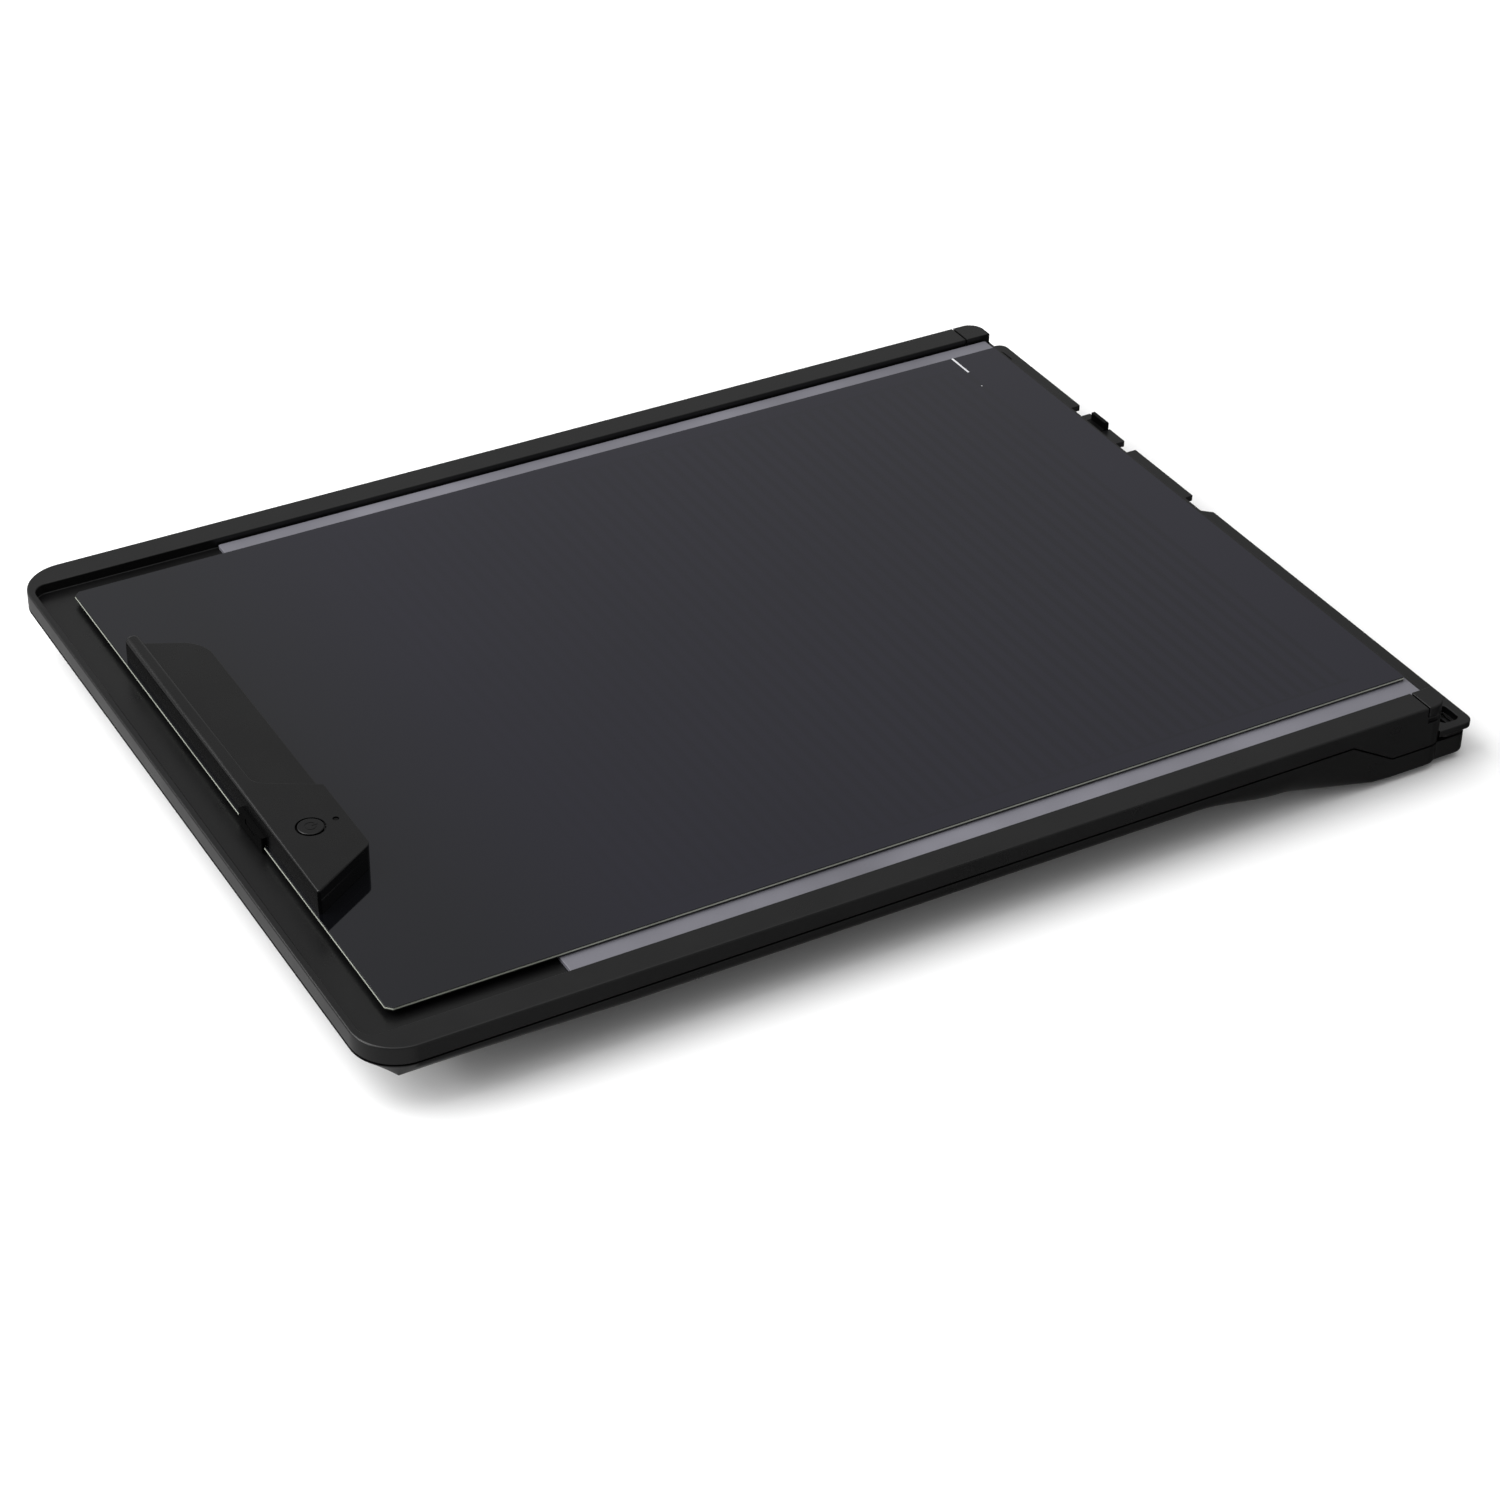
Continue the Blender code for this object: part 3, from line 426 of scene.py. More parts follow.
def face_film():
    """Glossy dark film with the printed combs showing faintly through it."""
    n = Nodes("gloss_face_film")
    split = n.node("SeparateXYZ")
    n.link(n.place, split.inputs[0])
    x = n.math("SUBTRACT", split.outputs["X"], DATUM.x)
    y = n.math("SUBTRACT", split.outputs["Y"], DATUM.y)
    edge = 0.0006
    phase = n.math("PINGPONG", n.math("SUBTRACT", x, COMB_FIRST * MM), COMB_PITCH / 2 * MM)
    line = n.spread(phase, 0.0009, 0.0021, 1, 0)
    field_x = band(n, x, (COMB_FIRST - 1) * MM, (COMB_FIRST + COMB_PITCH * (COMB_LINES - 0.6)) * MM,
                   edge)
    field_y = band(n, y, -0.1535, 0.1515, edge)
    lines = n.math("MULTIPLY", line, n.math("MULTIPLY", field_x, field_y))
    far_bus = n.math("MULTIPLY", band(n, y, 0.1529, 0.1541, 0.0005),
                     band(n, x, -0.1955, 0.2154, edge))
    near_bus = n.math("MULTIPLY", band(n, y, -0.1557, -0.1545, 0.0005),
                      band(n, x, -0.1295, 0.2171, edge))
    upper_trace = n.math("MULTIPLY", band(n, y, 0.1394, 0.1406, 0.0004),
                         band(n, x, -0.179, -0.131, edge))
    feed_one = n.math("MULTIPLY", band(n, y, 0.0582, 0.0598, 0.0004),
                      band(n, x, -0.208, -0.181, edge))
    feed_two = n.math("MULTIPLY", band(n, y, 0.0732, 0.0748, 0.0004),
                      band(n, x, -0.208, -0.197, edge))
    print_mask = lines
    for extra in (far_bus, near_bus, upper_trace, feed_one, feed_two):
        print_mask = n.math("MAXIMUM", print_mask, extra)
    cloud = n.noise(7, 3)
    inked = n.blend(n.spread(cloud, 0.3, 0.7, 0, 1), (0.0030, 0.0026, 0.0062),
                    (0.0040, 0.0035, 0.0078))
    ground = n.blend(n.spread(x, -0.20, -0.12, 0, 1), (0.0015, 0.0016, 0.0022), inked)
    n.link(n.blend(n.math("MULTIPLY", print_mask, n.spread(x, -0.13, 0.15, 0.25, 0.8)), ground,
                   (0.0020, 0.0017, 0.0040)), n.shader.inputs["Base Color"])
    haze = n.noise(60, 4)
    n.link(n.spread(haze, 0.3, 0.7, 0.045, 0.075), n.shader.inputs["Roughness"])
    n.shader.inputs["IOR"].default_value = 1.53
    n.shader.inputs["Specular Tint"].default_value = (0.88, 0.89, 1.0, 1.0)
    orange = n.noise(330, 2, 0.5)
    n.link(n.bump(orange, 0.02, 0.00004), n.shader.inputs["Normal"])
    return n.material


def edge_core():
    """Pale glass-epoxy under the face, with the streaks of a cut laminate; below it the edge is
    painted near-black, partly a dark backing and partly painted shade of the gap under the mat.
    """
    n = Nodes("pale_laminate")
    split = n.node("SeparateXYZ")
    n.link(n.place, split.inputs[0])
    height = n.math("SUBTRACT", split.outputs["Z"], DATUM.z)
    pale = band(n, height, -0.00095, -0.00038, 0.00008)
    layers = n.noise(60, 4, 0.6, (1, 1, 40))
    resin = n.blend(n.spread(layers, 0.3, 0.7, 0, 1), (0.42, 0.45, 0.38), (0.64, 0.67, 0.58))
    # outside the pale band the edge is near-black; the lower dark band is partly a backing layer
    # and partly painted shade of the gap beneath the mat
    n.link(n.blend(pale, (0.010, 0.011, 0.009), resin), n.shader.inputs["Base Color"])
    n.link(n.spread(layers, 0.3, 0.7, 0.35, 0.5), n.shader.inputs["Roughness"])
    n.link(n.bump(layers, 0.1, 0.00003), n.shader.inputs["Normal"])
    return n.material


tray_plastic = moulded("tray_plastic_fine", (0.0030, 0.0030, 0.0031), 0.30, 0.12, 2600, 0.30)
base_plastic = moulded("base_plastic_fine", (0.0028, 0.0028, 0.0028), 0.30, 0.12, 2600, 0.30)
cap_plastic = moulded("cap_plastic_fine", (0.0028, 0.0028, 0.0029), 0.29, 0.12, 2600, 0.30)
strip_plastic = moulded("glide_strip_fine", (0.128, 0.126, 0.146), 0.38, 0.10, 1500)
latch_plastic = moulded("latch_plastic_fine", (0.0012, 0.0012, 0.0012), 0.5, 0.2, 2600, 0.10)
leg_plastic = moulded("leg_plastic_fine", (0.010, 0.010, 0.010), 0.5, 0.3)
pad_rubber = moulded("pad_rubber_fine", (0.012, 0.012, 0.012), 0.85, 0.5, 1200)
case_plastic = moulded("case_plastic_fine", (0.0007, 0.0007, 0.0008), 0.26, 0.06, 3000, 0.30)
button_plastic = moulded("button_plastic_fine", (0.0008, 0.0008, 0.0009), 0.26, 0.06, 3000, 0.30)
tab_plastic = moulded("tab_plastic_fine", (0.0010, 0.0010, 0.0010), 0.5, 0.1, 2600, 0.05)
inlet_black = moulded("inlet_black", (0.0012, 0.0012, 0.0013), 0.45, 0.1, 2600, 0.06)
mark_white = moulded("white_print", (0.62, 0.62, 0.64), 0.35, 0.05)
light_pipe = moulded("light_pipe_fine", (0.002, 0.002, 0.002), 0.12, 0.02, 2600, 0.1)
board_green = moulded("board_green", (0.012, 0.075, 0.030), 0.42, 0.15, 900)
dark_resin = moulded("dark_resin", (0.010, 0.010, 0.010), 0.55, 0.5, 700)
lamp_resin = moulded("lamp_resin_fine", (0.62, 0.62, 0.52), 0.25, 0.05)
cell_foil = metal("cell_foil_fine", (0.72, 0.72, 0.75), 0.32)
bright_steel = metal("bright_steel", (0.62, 0.62, 0.62), 0.30, (1, 1, 12))
gold_plate = metal("gold_plate", (0.83, 0.62, 0.25), 0.22)


# ---- tray, upper moulding ----------------------------------------------------------------------
def tray_plan(clearance=0.0):
    corners = [(TRAY_LEFT, -TRAY_HALF, TRAY_LEFT_CORNER),
               (TRAY_RIGHT, -TRAY_HALF, TRAY_RIGHT_CORNER),
               (TRAY_RIGHT, TRAY_HALF, TRAY_RIGHT_CORNER),
               (TRAY_LEFT, TRAY_HALF, TRAY_LEFT_CORNER)]
    return inset(corners, clearance)


def ledge_plan():
    """The dock ledge's outline, with the notches in its right edge."""
    near, far = SHALLOW_NOTCH_SPAN
    outline = [(LEDGE_LEFT, LEDGE_NEAR, 0), (LEDGE_RIGHT, LEDGE_NEAR, LEDGE_CORNER),
               (LEDGE_RIGHT, near, 1), (SHALLOW_NOTCH, near + SHALLOW_NOTCH_SLANT, 1),
               (SHALLOW_NOTCH, far, 0.5), (LEDGE_RIGHT, far, 0.5)]
    for near, far in DEEP_NOTCH_SPANS:
        outline += [(LEDGE_RIGHT, near, 0.8), (DEEP_NOTCH, near, 0.8), (DEEP_NOTCH, far, 0.8),
                    (LEDGE_RIGHT, far, 0.8)]
    return outline + [(LEDGE_RIGHT, LEDGE_FAR, LEDGE_CORNER), (LEDGE_LEFT, LEDGE_FAR, 0)]


def dock_plan(clearance=0.0):
    half = BASE_DOCK_HALF - 0.3
    return inset(rectangle(243.8, -half, BASE_RIGHT, half, LEDGE_CORNER), clearance)


def socket_corners(left, right_edge, clearance=0.0):
    return inset(rectangle(left, SOCKET_OUTER, right_edge, SOCKET_INNER, SOCKET_CORNER), clearance)


def make_deck():
    deck = plate("tray_deck", tray_plan(), -20.6, RAIL_TOP, 14)
    cut(deck, plate("c", tray_plan(WALL), -BEYOND, DECK_UNDER, 14))
    trough = [(RIM_INNER, -RAIL_INNER, 7), (TRAY_RIGHT + BEYOND, -RAIL_INNER, 0),
              (TRAY_RIGHT + BEYOND, RAIL_INNER, 0), (RIM_INNER, RAIL_INNER, 7)]
    cut(deck, plate("c", trough, DECK_TOP, BEYOND, 12))
    hollow = rectangle(RAIL_HOLLOW_LEFT, -(TRAY_HALF - WALL - 0.5), RAIL_HOLLOW_RIGHT,
                       -(RAIL_INNER + WALL))
    for name, corners in both_sides("c", hollow):
        cut(deck, plate(name, corners, DECK_UNDER - 0.5, RAIL_TOP - WALL))
    cut(deck, block("c", NEAR_CAP_LEFT - LINE_DEPTH, -220, 300, -RAIL_INNER + 0.2, CAP_SEAT,
                    BEYOND))
    cut(deck, block("c", FAR_CAP_LEFT - LINE_DEPTH, RAIL_INNER - 0.2, 300, 220, CAP_SEAT, BEYOND))
    slot = rectangle(SIDE_SLOT_LEFT, -220, SIDE_SLOT_RIGHT, -(TRAY_HALF - 1.5))
    for name, corners in both_sides("c", slot):
        cut(deck, plate(name, corners, PARTING, DECK_TOP - 0.9))
    under = LEDGE_TOP - LEDGE_THICKNESS
    wall = plate("w", dock_plan(), -21.0, under + 0.8, 8)
    cut(wall, plate("c", dock_plan(BASE_WALL), -BEYOND, BEYOND, 8))
    add(deck, wall)
    add(deck, plate("a", ledge_plan(), under, LEDGE_TOP, 6))
    cut(deck, block("c", 253.7, LATCH_NEAR - GAP, 300, LATCH_FAR + GAP, -BEYOND, LEDGE_TOP + 1))
    high, low = PARTING + GAP, PARTING_DOCK + GAP
    profile = [(-400, -60), (400, -60), (400, low), (RAMP_END, low), (RAMP_START, high),
               (-400, high)]
    cut(deck, extrude("c", profile, -250, 250, upright=False))
    for name, corners in both_sides("a", rectangle(244.4, -185.1, 254.9, -171.0, 2.5)):
        add(deck, plate(name, corners, -27.5, under + 1.2, 6))
    for name, corners in both_sides("c", socket_corners(SOCKET_LEFT, SOCKET_MOUTH_RIGHT)):
        cut(deck, plate(name, corners, under - 0.5, 0, 6))
    for name, corners in both_sides("c", socket_corners(SOCKET_LEFT, SOCKET_RIGHT, 0.5)):
        cut(deck, plate(name, corners, SOCKET_FLOOR, 0, 6))

    def width(x, y, z):
        outside = abs(y) > RAIL_INNER + 0.2 or x < RIM_INNER - 0.2
        if z > RAIL_TOP - 0.2:
            return 0.9 if outside else 0.5
        if z > DECK_TOP - 0.5 and x < 240:
            return 0.45
        if abs(z - LEDGE_TOP) < 0.2 and x > 245.5:
            return 0.35
        return 0.16
    soften(deck, 0.16, width)
    smooth(deck, 35)
    return show(deck, "tray", "tray_plastic", tray_plastic, "deck_shell")


# ---- tray, lower moulding ----------------------------------------------------------------------
def bottom_height(x):
    return SHALLOW_BOTTOM + (BELLY_BOTTOM - SHALLOW_BOTTOM) * smooth_step(x, BELLY_START, BELLY_END)


def base_floor(x):
    return bottom_height(x) + BASE_WALL


def parting_height(x):
    return ramp(x, RAMP_START, RAMP_END, PARTING, PARTING_DOCK) - GAP / 2


def crease_height(x):
    if x < CREASE_END:
        return ramp(x, CREASE_START, CREASE_END, SHALLOW_SIDE_TOP, CREASE_LOW)
    return ramp(x, CREASE_END, RAMP_END, CREASE_LOW, DOCK_CREASE)


def base_near_edge():
    """Plan points with outward normals, from the left wall along the near side to the right."""
    edge = []
    for step in range(17):
        turn = radians(180 + 90 * step / 16)
        normal = Vector((cos(turn), sin(turn)))
        edge.append((TRAY_LEFT + TRAY_LEFT_CORNER * (1 + normal.x),
                     -TRAY_HALF + TRAY_LEFT_CORNER * (1 + normal.y), normal))
    down = Vector((0, -1))
    stations = [-150, -60, 30, 90] + [BELLY_START + 3 * step for step in range(20)]
    stations += [176, 181, 186, 190.5, RAMP_START, 199.5, 204, 208, 212, RAMP_END, 223, 230]
    for x in stations:
        edge.append((x, -TRAY_HALF, down))
    for step in range(5):
        turn = radians(-90 + 9.5 * step)
        normal = Vector((cos(turn), sin(turn)))
        edge.append((TRAY_RIGHT + TRAY_RIGHT_CORNER * (normal.x - 1),
                     -TRAY_HALF + TRAY_RIGHT_CORNER * (1 + normal.y), normal))
    edge.append((243.0, -BASE_DOCK_HALF, Vector((0.3, -1)).normalized()))
    edge.append((245.0, -BASE_DOCK_HALF, down))
    for step in range(7):
        turn = radians(-90 + 90 * step / 6)
        normal = Vector((cos(turn), sin(turn)))
        edge.append((BASE_RIGHT + LEDGE_CORNER * (normal.x - 1),
                     -BASE_DOCK_HALF + LEDGE_CORNER * (1 + normal.y), normal))
    return edge


def base_foot(x, y, normal, depth):
    """Where the side that starts at this plan point meets the bottom, for the near half."""
    if x < BELLY_START:
        return (max(x, TRAY_LEFT + LEFT_LEAN),
                max(y, -TRAY_HALF + SIDE_LEAN * (SHALLOW_SIDE_TOP - SHALLOW_BOTTOM)))
    back = depth * ramp(x, BELLY_START, BELLY_END, SIDE_LEAN, 1.0)
    return x - normal.x * back, y - normal.y * back


def make_base():
    arc_steps = 12
    near = base_near_edge()
    builder = bmesh.new()
    near_columns = []
    for x, y, normal in near:
        crease, depth = crease_height(x), crease_height(x) - bottom_height(x)
        foot_x, foot_y = base_foot(x, y, normal, depth)
        roundness = ramp(x, TRAY_LEFT + LEFT_LEAN, ROUND_SIDE_START, 0.0, 1.0)
        column = [(x, y, parting_height(x) - LINE_DEPTH)]
        for step in range(arc_steps + 1):
            share, turn = step / arc_steps, radians(90 * step / arc_steps)
            inwards = share + roundness * (1 - cos(turn) - share)
            downwards = share + roundness * (sin(turn) - share)
            column.append((x + (foot_x - x) * inwards, y + (foot_y - y) * inwards,
                           crease - LINE_DEPTH - (depth - LINE_DEPTH) * downwards))
        near_columns.append(column)
    far_columns = [[(x, -y, z) for x, y, z in column] for column in reversed(near_columns)]
    columns = [[builder.verts.new(point) for point in column]
               for column in near_columns + far_columns]
    for index, column in enumerate(columns):
        following = columns[(index + 1) % len(columns)]
        for row in range(arc_steps + 1):
            builder.faces.new((column[row], column[row + 1], following[row + 1], following[row]))
    left_end = TRAY_LEFT + LEFT_LEAN + 0.01
    first = next(index for index, column in enumerate(near_columns) if column[-1][0] > left_end)
    last = len(columns) - 1
    builder.faces.new([columns[index][-1] for index in range(first + 1)]
                      + [columns[last - index][-1] for index in reversed(range(first + 1))])
    for index in range(first, len(near) - 1):
        builder.faces.new((columns[index][-1], columns[last - index][-1],
                           columns[last - index - 1][-1], columns[index + 1][-1]))
    bmesh.ops.remove_doubles(builder, verts=builder.verts, dist=0.001)
    base = finish_mesh("tray_base", builder)
    wall = base.modifiers.new("wall", "SOLIDIFY")
    wall.thickness = BASE_WALL * MM
    wall.offset = -1.0
    wall.use_even_offset = True
    bake(base)
    cut(base, block("c", 255.0, LATCH_NEAR - GAP, 300, LATCH_FAR + GAP, LATCH_BOTTOM - 4, 0))
    for spot in SCREW_SPOTS:
        floor = base_floor(spot[0])
        add(base, post("a", spot, 5.0, floor - 0.6, floor + 3.8, 32))
        cut(base, post("c", spot, 3.3, floor - 8, floor + 1.8, 32))
        cut(base, post("c", spot, 1.7, floor - 8, floor + 8, 24))
    smooth(base, 32)
    return show(base, "tray", "base_plastic", base_plastic, "base_shell")


# ---- tray, small pieces ------------------------------------------------------------------------
def make_strips():
    for name, corners in both_sides("strip", rectangle(STRIP_LEFT, -STRIP_OUTER, STRIP_RIGHT,
                                                       -STRIP_INNER, 0.8)):
        strip = plate(name, corners, DECK_TOP + 0.1, STRIP_TOP, 5)
        soften(strip, 0.3)
        show(strip, "tray", "glide_strip", strip_plastic, name.replace("strip", "glide_strip"))


def make_caps():
    for side, left, sign in (("near", NEAR_CAP_LEFT, -1), ("far", FAR_CAP_LEFT, 1)):
        near, far = sorted((sign * RAIL_INNER, sign * TRAY_HALF))
        near_radius, far_radius = (TRAY_RIGHT_CORNER, 0) if sign < 0 else (0, TRAY_RIGHT_CORNER)
        corners = [(left + GAP / 2, near, 0), (TRAY_RIGHT, near, near_radius),
                   (TRAY_RIGHT, far, far_radius), (left + GAP / 2, far, 0)]
        cap = plate(side + "_cap", corners, CAP_SEAT + GAP / 2, RAIL_TOP, 14)

        def width(x, y, z):
            return 0.8 if z > RAIL_TOP - 0.2 and abs(y) > RAIL_INNER + 1 and x > left + 1 else None
        soften(cap, 0.35, width)
        show(cap, "tray", "cap_plastic", cap_plastic, side + "_rail_cap")


def make_latch():
    under = LEDGE_TOP - LEDGE_THICKNESS - GAP
    profile = [(LATCH_FOOT_LEFT, LATCH_BOTTOM), (LATCH_RIGHT, LATCH_BOTTOM),
               (LATCH_RIGHT, LATCH_TOP - 0.8), (LATCH_RIGHT - 0.8, LATCH_TOP),
               (LATCH_TOOTH_LEFT, LATCH_TOP), (LATCH_TOOTH_LEFT, LEDGE_TOP),
               (LATCH_COLUMN_LEFT, LEDGE_TOP), (LATCH_COLUMN_LEFT, under),
               (LATCH_FOOT_LEFT, under)]
    latch = extrude("latch_block", profile, LATCH_NEAR, LATCH_FAR, upright=False)
    soften(latch, 0.25)
    show(latch, "latch", "latch_plastic", latch_plastic, "dock_latch")


def make_feet():
    pad_top = GROUND + PAD_THICKNESS
    for side, sign in (("near", -1), ("far", 1)):
        for end, x, material, slot, low, high, radius in (
                ("left_leg", -FOOT_X, leg_plastic, "leg_plastic", pad_top + 0.2,
                 SHALLOW_BOTTOM - 0.2, LEG_RADIUS),
                ("left_pad", -FOOT_X, pad_rubber, "pad_rubber", GROUND, pad_top, PAD_RADIUS),
                ("right_pad", FOOT_X, pad_rubber, "pad_rubber", GROUND, BELLY_BOTTOM - 0.2,
                 PAD_RADIUS)):
            foot = post(f"{side}_{end}_round", (x, sign * FOOT_Y), radius, low, high, 64)
            soften(foot, 0.5)
            show(foot, "tray", slot, material, f"{side}_{end}")


# ---- mat ---------------------------------------------------------------------------------------
def mat_plan(clearance=0.0):
    half_x, half_y = MAT_HALF_LENGTH, MAT_HALF_WIDTH
    corners = [(-half_x, -half_y + MAT_CHAMFER, 0.4), (-half_x + MAT_CHAMFER, -half_y, 0.4),
               (half_x, -half_y, MAT_SHARP_CORNER), (half_x, half_y, MAT_SHARP_CORNER),
               (-half_x + MAT_CHAMFER, half_y, 0.4), (-half_x, half_y - MAT_CHAMFER, 0.4),
               (-half_x, TAB_FAR + GAP, 0),
               (HANDLE_LEFT, TAB_FAR + GAP, 0), (HANDLE_LEFT, TAB_NEAR - GAP, 0),
               (-half_x, TAB_NEAR - GAP, 0)]
    return inset(corners, clearance)


def make_mat():
    core = plate("mat_laminate", mat_plan(), MAT_UNDER, CORE_TOP + 0.2, 12)
    soften(core, 0.12)
    show(core, "mat", "mat_core", edge_core(), "mat_core")
    face = plate("mat_face", mat_plan(0.25), -0.2, 0.0, 12)
    soften(face, 0.08)
    show(face, "mat", "mat_film", face_film(), "mat_face_film", "electrode_comb_near",
         "electrode_comb_far")
    mark = plate("alignment_mark", rectangle(214.9, 149.3, 215.9, 164.6, 0.2), -0.05, 0.03)
    show(mark, "mat", "mat_film", mark_white)
    dot = post("alignment_dot", (214.0, 135.0), 0.3, -0.05, 0.03, 24)
    show(dot, "mat", "mat_film", mark_white)


# ---- handle ------------------------------------------------------------------------------------
def handle_plan(clearance=0.0):
    corners = [(HANDLE_LEFT, HANDLE_LEFT_NEAR, 1), (HANDLE_RIGHT, HANDLE_RIGHT_NEAR, 5),
               (HANDLE_RIGHT, WING_RIGHT_FAR, 16), (HANDLE_LEFT, WING_LEFT_FAR, 2)]
    return inset(corners, clearance)


def raised_corners():
    """The ridge and the plateau in one outline, counterclockwise from the near left corner."""
    return [(HANDLE_LEFT, HANDLE_LEFT_NEAR, 1.0), (HANDLE_RIGHT, HANDLE_RIGHT_NEAR, 5),
            (HANDLE_RIGHT, PLATEAU_FAR, 1), (RIDGE_RIGHT, PLATEAU_FAR + PLATEAU_SLANT, 8),
            (RIDGE_RIGHT, RIDGE_FAR, 3.0), (HANDLE_LEFT, RIDGE_FAR + 2.6, 3.2)]


RAISED_ROUNDING = [0.8, 0.35, 0.35, 0.6, 2.2, 2.7]   # of the top edge, at each of those corners
WING_ROUNDING = [0.5, 0.35, 0.5, 0.5]
STEP_FILLET = 1.5                                    # where the ridge and plateau meet the wing
STEP_EDGES = [0, 0, 0, -1, -1, 0]                    # the edges of the outline that have it
FILLET_STEPS, ROUNDING_STEPS, CORNER_STEPS = 5, 7, 8


def rounded_top(name, corners, widths, low, high, flare_height=None):
    """A prism whose top edge is rounded, wider at some corners; its step may flare at the foot."""
    still = [0] * len(corners)
    rings = [[(x, y, low) for x, y in rounded(corners, CORNER_STEPS)]]
    if flare_height is not None:
        for step in range(FILLET_STEPS + 1):
            turn = radians(90 * step / FILLET_STEPS)
            out = STEP_FILLET * (1 - sin(turn))
            height = flare_height - 0.03 + STEP_FILLET * (1 - cos(turn))
            outline = shifted(corners, [out * edge for edge in STEP_EDGES])
            rings.append([(x, y, height) for x, y in rounded(outline, CORNER_STEPS)])
    for step in range(ROUNDING_STEPS + 1):
        turn = radians(90 * step / ROUNDING_STEPS)
        outline = rounded(shifted(corners, still, widths, 1 - cos(turn)), CORNER_STEPS)
        ring = []
        for index, (x, y) in enumerate(outline):
            width = widths[index // (CORNER_STEPS + 1)]
            ring.append((x, y, high - width * (1 - sin(turn))))
        rings.append(ring)
    return loft(name, rings)


def make_handle():
    wing = [(x + (0.3 if x == HANDLE_LEFT else 0), y, radius) for x, y, radius in handle_plan()]
    case = rounded_top("handle_case", wing, WING_ROUNDING, HANDLE_BOTTOM, WING_TOP)
    add(case, rounded_top("a", raised_corners(), RAISED_ROUNDING, HANDLE_BOTTOM - 0.02, HANDLE_TOP,
                          WING_TOP))
    cut(case, plate("c", handle_plan(HANDLE_WALL), -1, WING_TOP - 1.5))
    cut(case, plate("c", inset(raised_corners(), HANDLE_WALL + 0.5), -0.5, HANDLE_TOP - 2.6))
    cut(case, block("c", HANDLE_LEFT - 5, TAB_NEAR - GAP, HANDLE_LEFT + 3, TAB_FAR + GAP, -1,
                    TAB_TOP + GAP))
    cut(case, post("c", BUTTON, BUTTON_HOLE + 0.15, 7, 14, 64))
    cut(case, post("c", INDICATOR, INDICATOR_HOLE, 7, 14, 32))
    smooth(case, 25)
    show(case, "mat", "case_plastic", case_plastic, "handle_top_case")


def make_button():
    button = post("push_button", BUTTON, BUTTON_RADIUS - 0.3, 8.2, BUTTON_TOP, 64)
    soften(button, 0.35)
    add(button, post("a", BUTTON, 7.2, 8.2, 9.4, 64))
    ring = post("c", BUTTON, 2.6, BUTTON_TOP - 0.12, BUTTON_TOP + 1, 48)
    cut(ring, post("c", BUTTON, 2.1, BUTTON_TOP - 1, BUTTON_TOP + 2, 48))
    cut(ring, block("c", BUTTON[0] + 0.3, BUTTON[1] - 0.9, BUTTON[0] + 4, BUTTON[1] + 0.9,
                    BUTTON_TOP - 1, BUTTON_TOP + 2))
    cut(button, ring)
    cut(button, plate("c", rectangle(BUTTON[0] + 0.4, BUTTON[1] - 0.25, BUTTON[0] + 3.2,
                                     BUTTON[1] + 0.25, 0.2), BUTTON_TOP - 0.12, BUTTON_TOP + 1))
    smooth(button, 32)
    show(button, "button", "button_plastic", button_plastic, "power_button")


# ---- studio ------------------------------------------------------------------------------------
def make_camera():
    """Long lens, 35 degrees above the surface, looking across the tray's near left corner."""
    data = bpy.data.cameras.new("camera")
    data.sensor_width = 36.0
    data.lens = 3710 / 1500 * data.sensor_width
    camera = bpy.data.objects.new("camera", data)
    bpy.context.collection.objects.link(camera)
    back = Vector((-0.408, -0.710, 0.57413)).normalized()
    right = Vector((0.872, -0.489, 0.01516))
    right = (right - back * right.dot(back)).normalized()
    rotation = Matrix((right, back.cross(right), back)).transposed().to_4x4()
    camera.matrix_world = Matrix.Translation(Vector((-0.667, -1.176, 0.919))) @ rotation
    scene.camera = camera


def make_floor():
    builder = bmesh.new()
    bmesh.ops.create_grid(builder, x_segments=1, y_segments=1, size=8)
    mesh = bpy.data.meshes.new("floor")
    builder.to_mesh(mesh)
    builder.free()
    floor = bpy.data.objects.new("floor", mesh)
    bpy.context.collection.objects.link(floor)
    n = Nodes("floor_white")
    tone = n.noise(2, 2)
    n.link(n.blend(n.spread(tone, 0.3, 0.7, 0, 1), (0.90, 0.90, 0.90), (0.93, 0.93, 0.93)),
           n.shader.inputs["Base Color"])
    n.shader.inputs["Roughness"].default_value = 1.0
    n.shader.inputs["Specular IOR Level"].default_value = 0.0
    mesh.materials.append(n.material)
    floor.visible_glossy = False


def make_area(name, place, target, size, power):
    data = bpy.data.lights.new(name, "AREA")
    data.shape = "RECTANGLE"
    data.size, data.size_y = size
    data.energy = power
    light = bpy.data.objects.new(name, data)
    bpy.context.collection.objects.link(light)
    light.location = place
    light.rotation_euler = (Vector(place) - Vector(target)).to_track_quat("Z", "Y").to_euler()


def range_node(tree, limits):
    """limits are the lowest and highest value in, and what they become."""
    made = tree.nodes.new("ShaderNodeMapRange")
    for name, value in zip(("From Min", "From Max", "To Min", "To Max"), limits):
        made.inputs[name].default_value = value
    return made


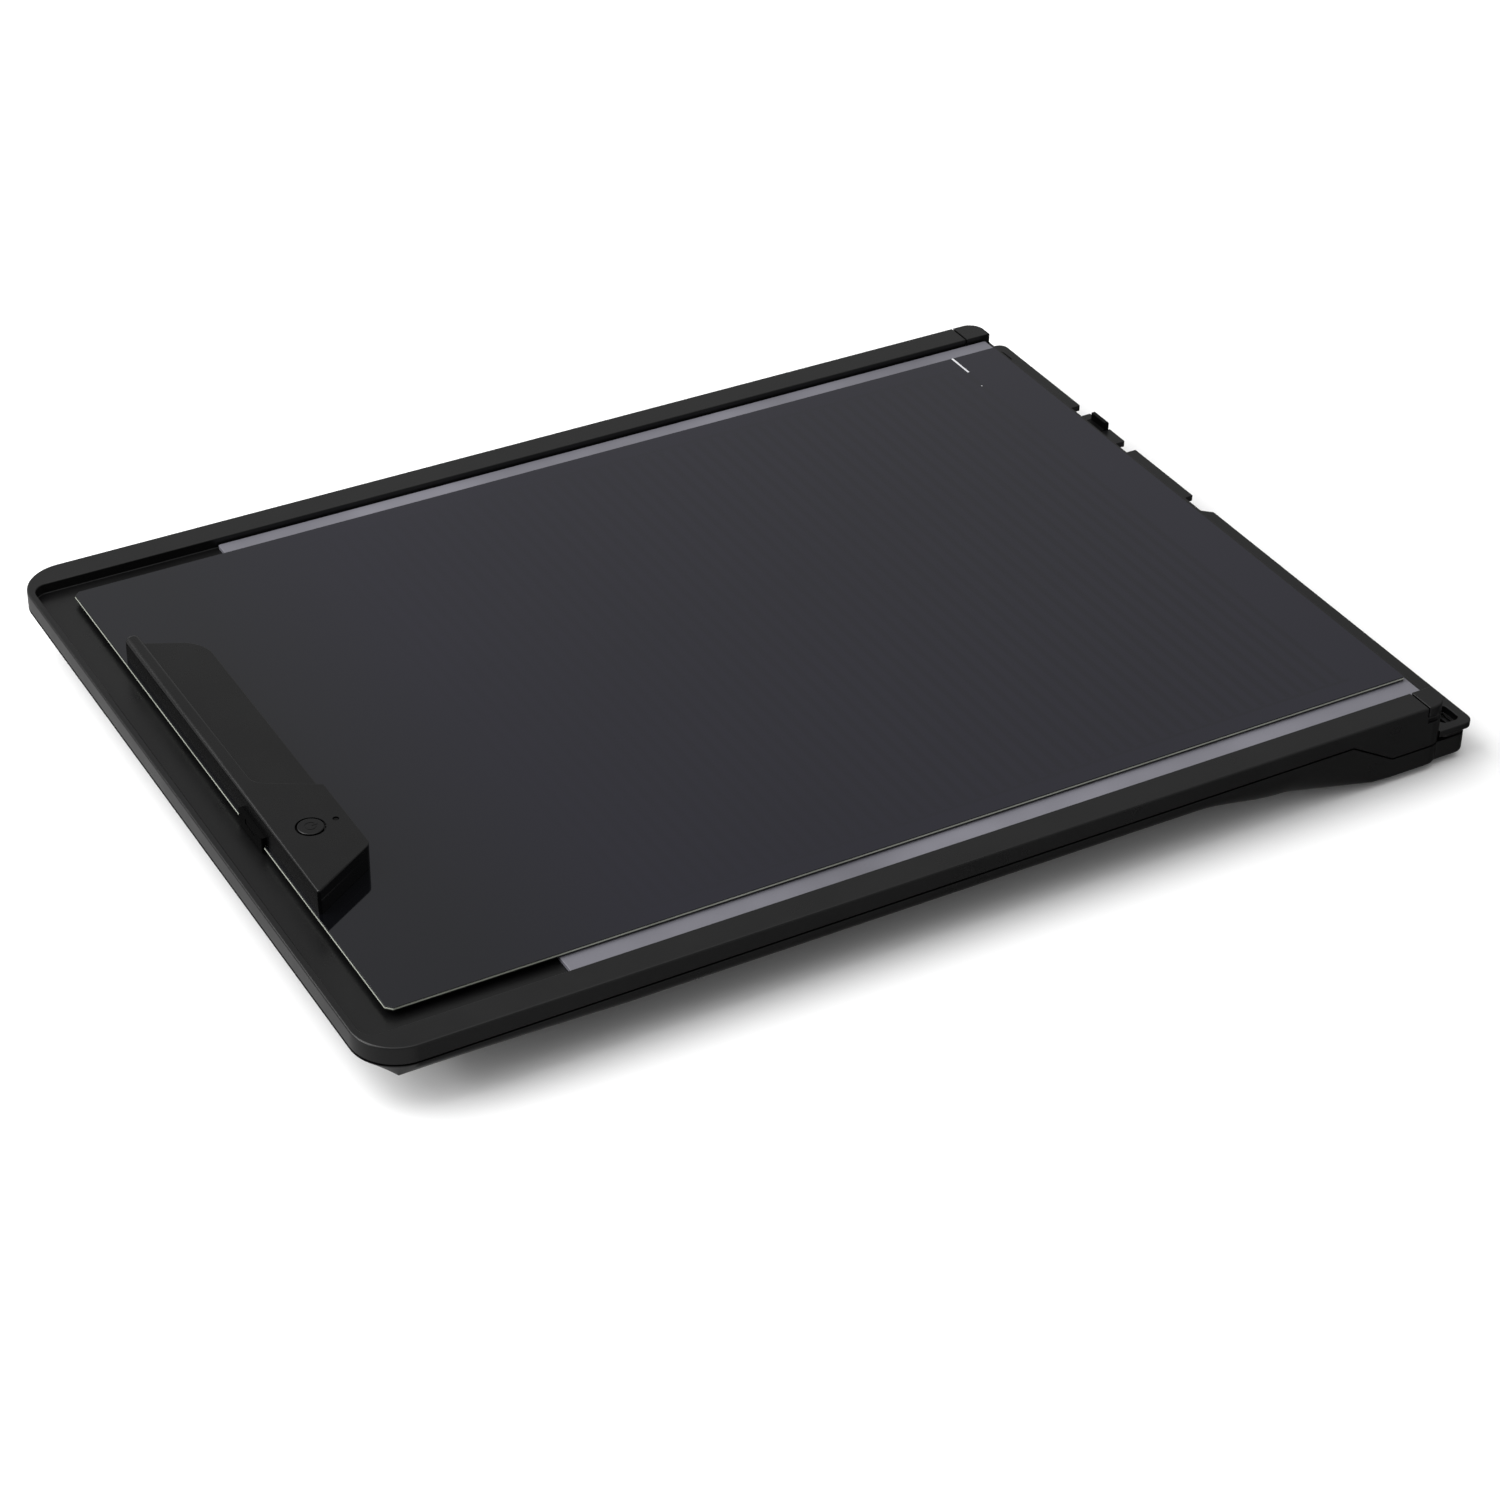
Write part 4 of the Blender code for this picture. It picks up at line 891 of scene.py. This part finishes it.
def make_studio():
    """Two soft lights in surroundings whose brightness goes by direction.

    Above the horizon the walls are grey, a little lighter at the far left, under a bright ceiling.
    Below it the brightness rises to the left, in place of the floor, which isn't mirrored.
    """
    world = bpy.data.worlds.new("studio")
    scene.world = world
    world.use_nodes = True
    tree = world.node_tree
    place = tree.nodes.new("ShaderNodeTexCoord")
    sideways = tree.nodes.new("ShaderNodeVectorMath")
    sideways.operation = "DOT_PRODUCT"
    sideways.inputs[1].default_value = (-0.8, 0.6, 0.0)
    upwards = tree.nodes.new("ShaderNodeSeparateXYZ")
    wall = range_node(tree, (-0.2, 0.5, 0.42, 0.52))
    below = range_node(tree, (-0.80, -0.3, 0.06, 0.60))
    across = tree.nodes.new("ShaderNodeVectorMath")
    across.operation = "DOT_PRODUCT"
    across.inputs[1].default_value = (-0.85, 0.0, 0.5)
    horizon = range_node(tree, (-0.04, 0.04, 0.0, 1.0))
    choice = tree.nodes.new("ShaderNodeMix")
    ceiling = range_node(tree, (0.80, 0.97, 0.0, 1.5))
    total = tree.nodes.new("ShaderNodeMath")
    tree.links.new(place.outputs["Generated"], sideways.inputs[0])
    tree.links.new(place.outputs["Generated"], upwards.inputs[0])
    tree.links.new(sideways.outputs["Value"], wall.inputs["Value"])
    tree.links.new(upwards.outputs["Z"], ceiling.inputs["Value"])
    tree.links.new(place.outputs["Generated"], across.inputs[0])
    tree.links.new(across.outputs["Value"], below.inputs["Value"])
    tree.links.new(upwards.outputs["Z"], horizon.inputs["Value"])
    tree.links.new(horizon.outputs["Result"], choice.inputs["Factor"])
    tree.links.new(below.outputs["Result"], choice.inputs["A"])
    tree.links.new(wall.outputs["Result"], choice.inputs["B"])
    tree.links.new(choice.outputs["Result"], total.inputs[0])
    tree.links.new(ceiling.outputs["Result"], total.inputs[1])
    tree.links.new(total.outputs[0], tree.nodes["Background"].inputs["Strength"])
    tree.nodes["Background"].inputs["Color"].default_value = (1.0, 1.0, 1.0, 1.0)
    make_area("key", (-1.7, 0.8, 1.9), (0, 0, 0), (2.4, 2.4), 80)
    make_area("low_left", (-2.0, 0.1, 0.75), (-0.2, 0, 0), (1.2, 0.8), 12)


make_camera()
make_studio()
make_floor()
make_deck()
make_base()
make_strips()
make_caps()
make_latch()
make_feet()
make_mat()
make_handle()
make_button()

CARRIED_OVER = {
    "latch_spring": bright_steel, "status_light_pipe": light_pipe, "status_led": lamp_resin,
    "control_board": board_green, "hv_module": dark_resin, "battery_pack": cell_foil,
    "charging_inlet": inlet_black, "button_switch": leg_plastic,
    "handle_bottom_case": tab_plastic, "contact_pin_1": gold_plate, "contact_pin_2": gold_plate,
}
for number in range(1, 7):
    CARRIED_OVER[f"base_screw_{number}"] = bright_steel
for number in range(1, 4):
    CARRIED_OVER[f"handle_screw_{number}"] = bright_steel
for node, material in CARRIED_OVER.items():
    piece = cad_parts[node]
    piece.data.materials.clear()
    piece.data.materials.append(material)
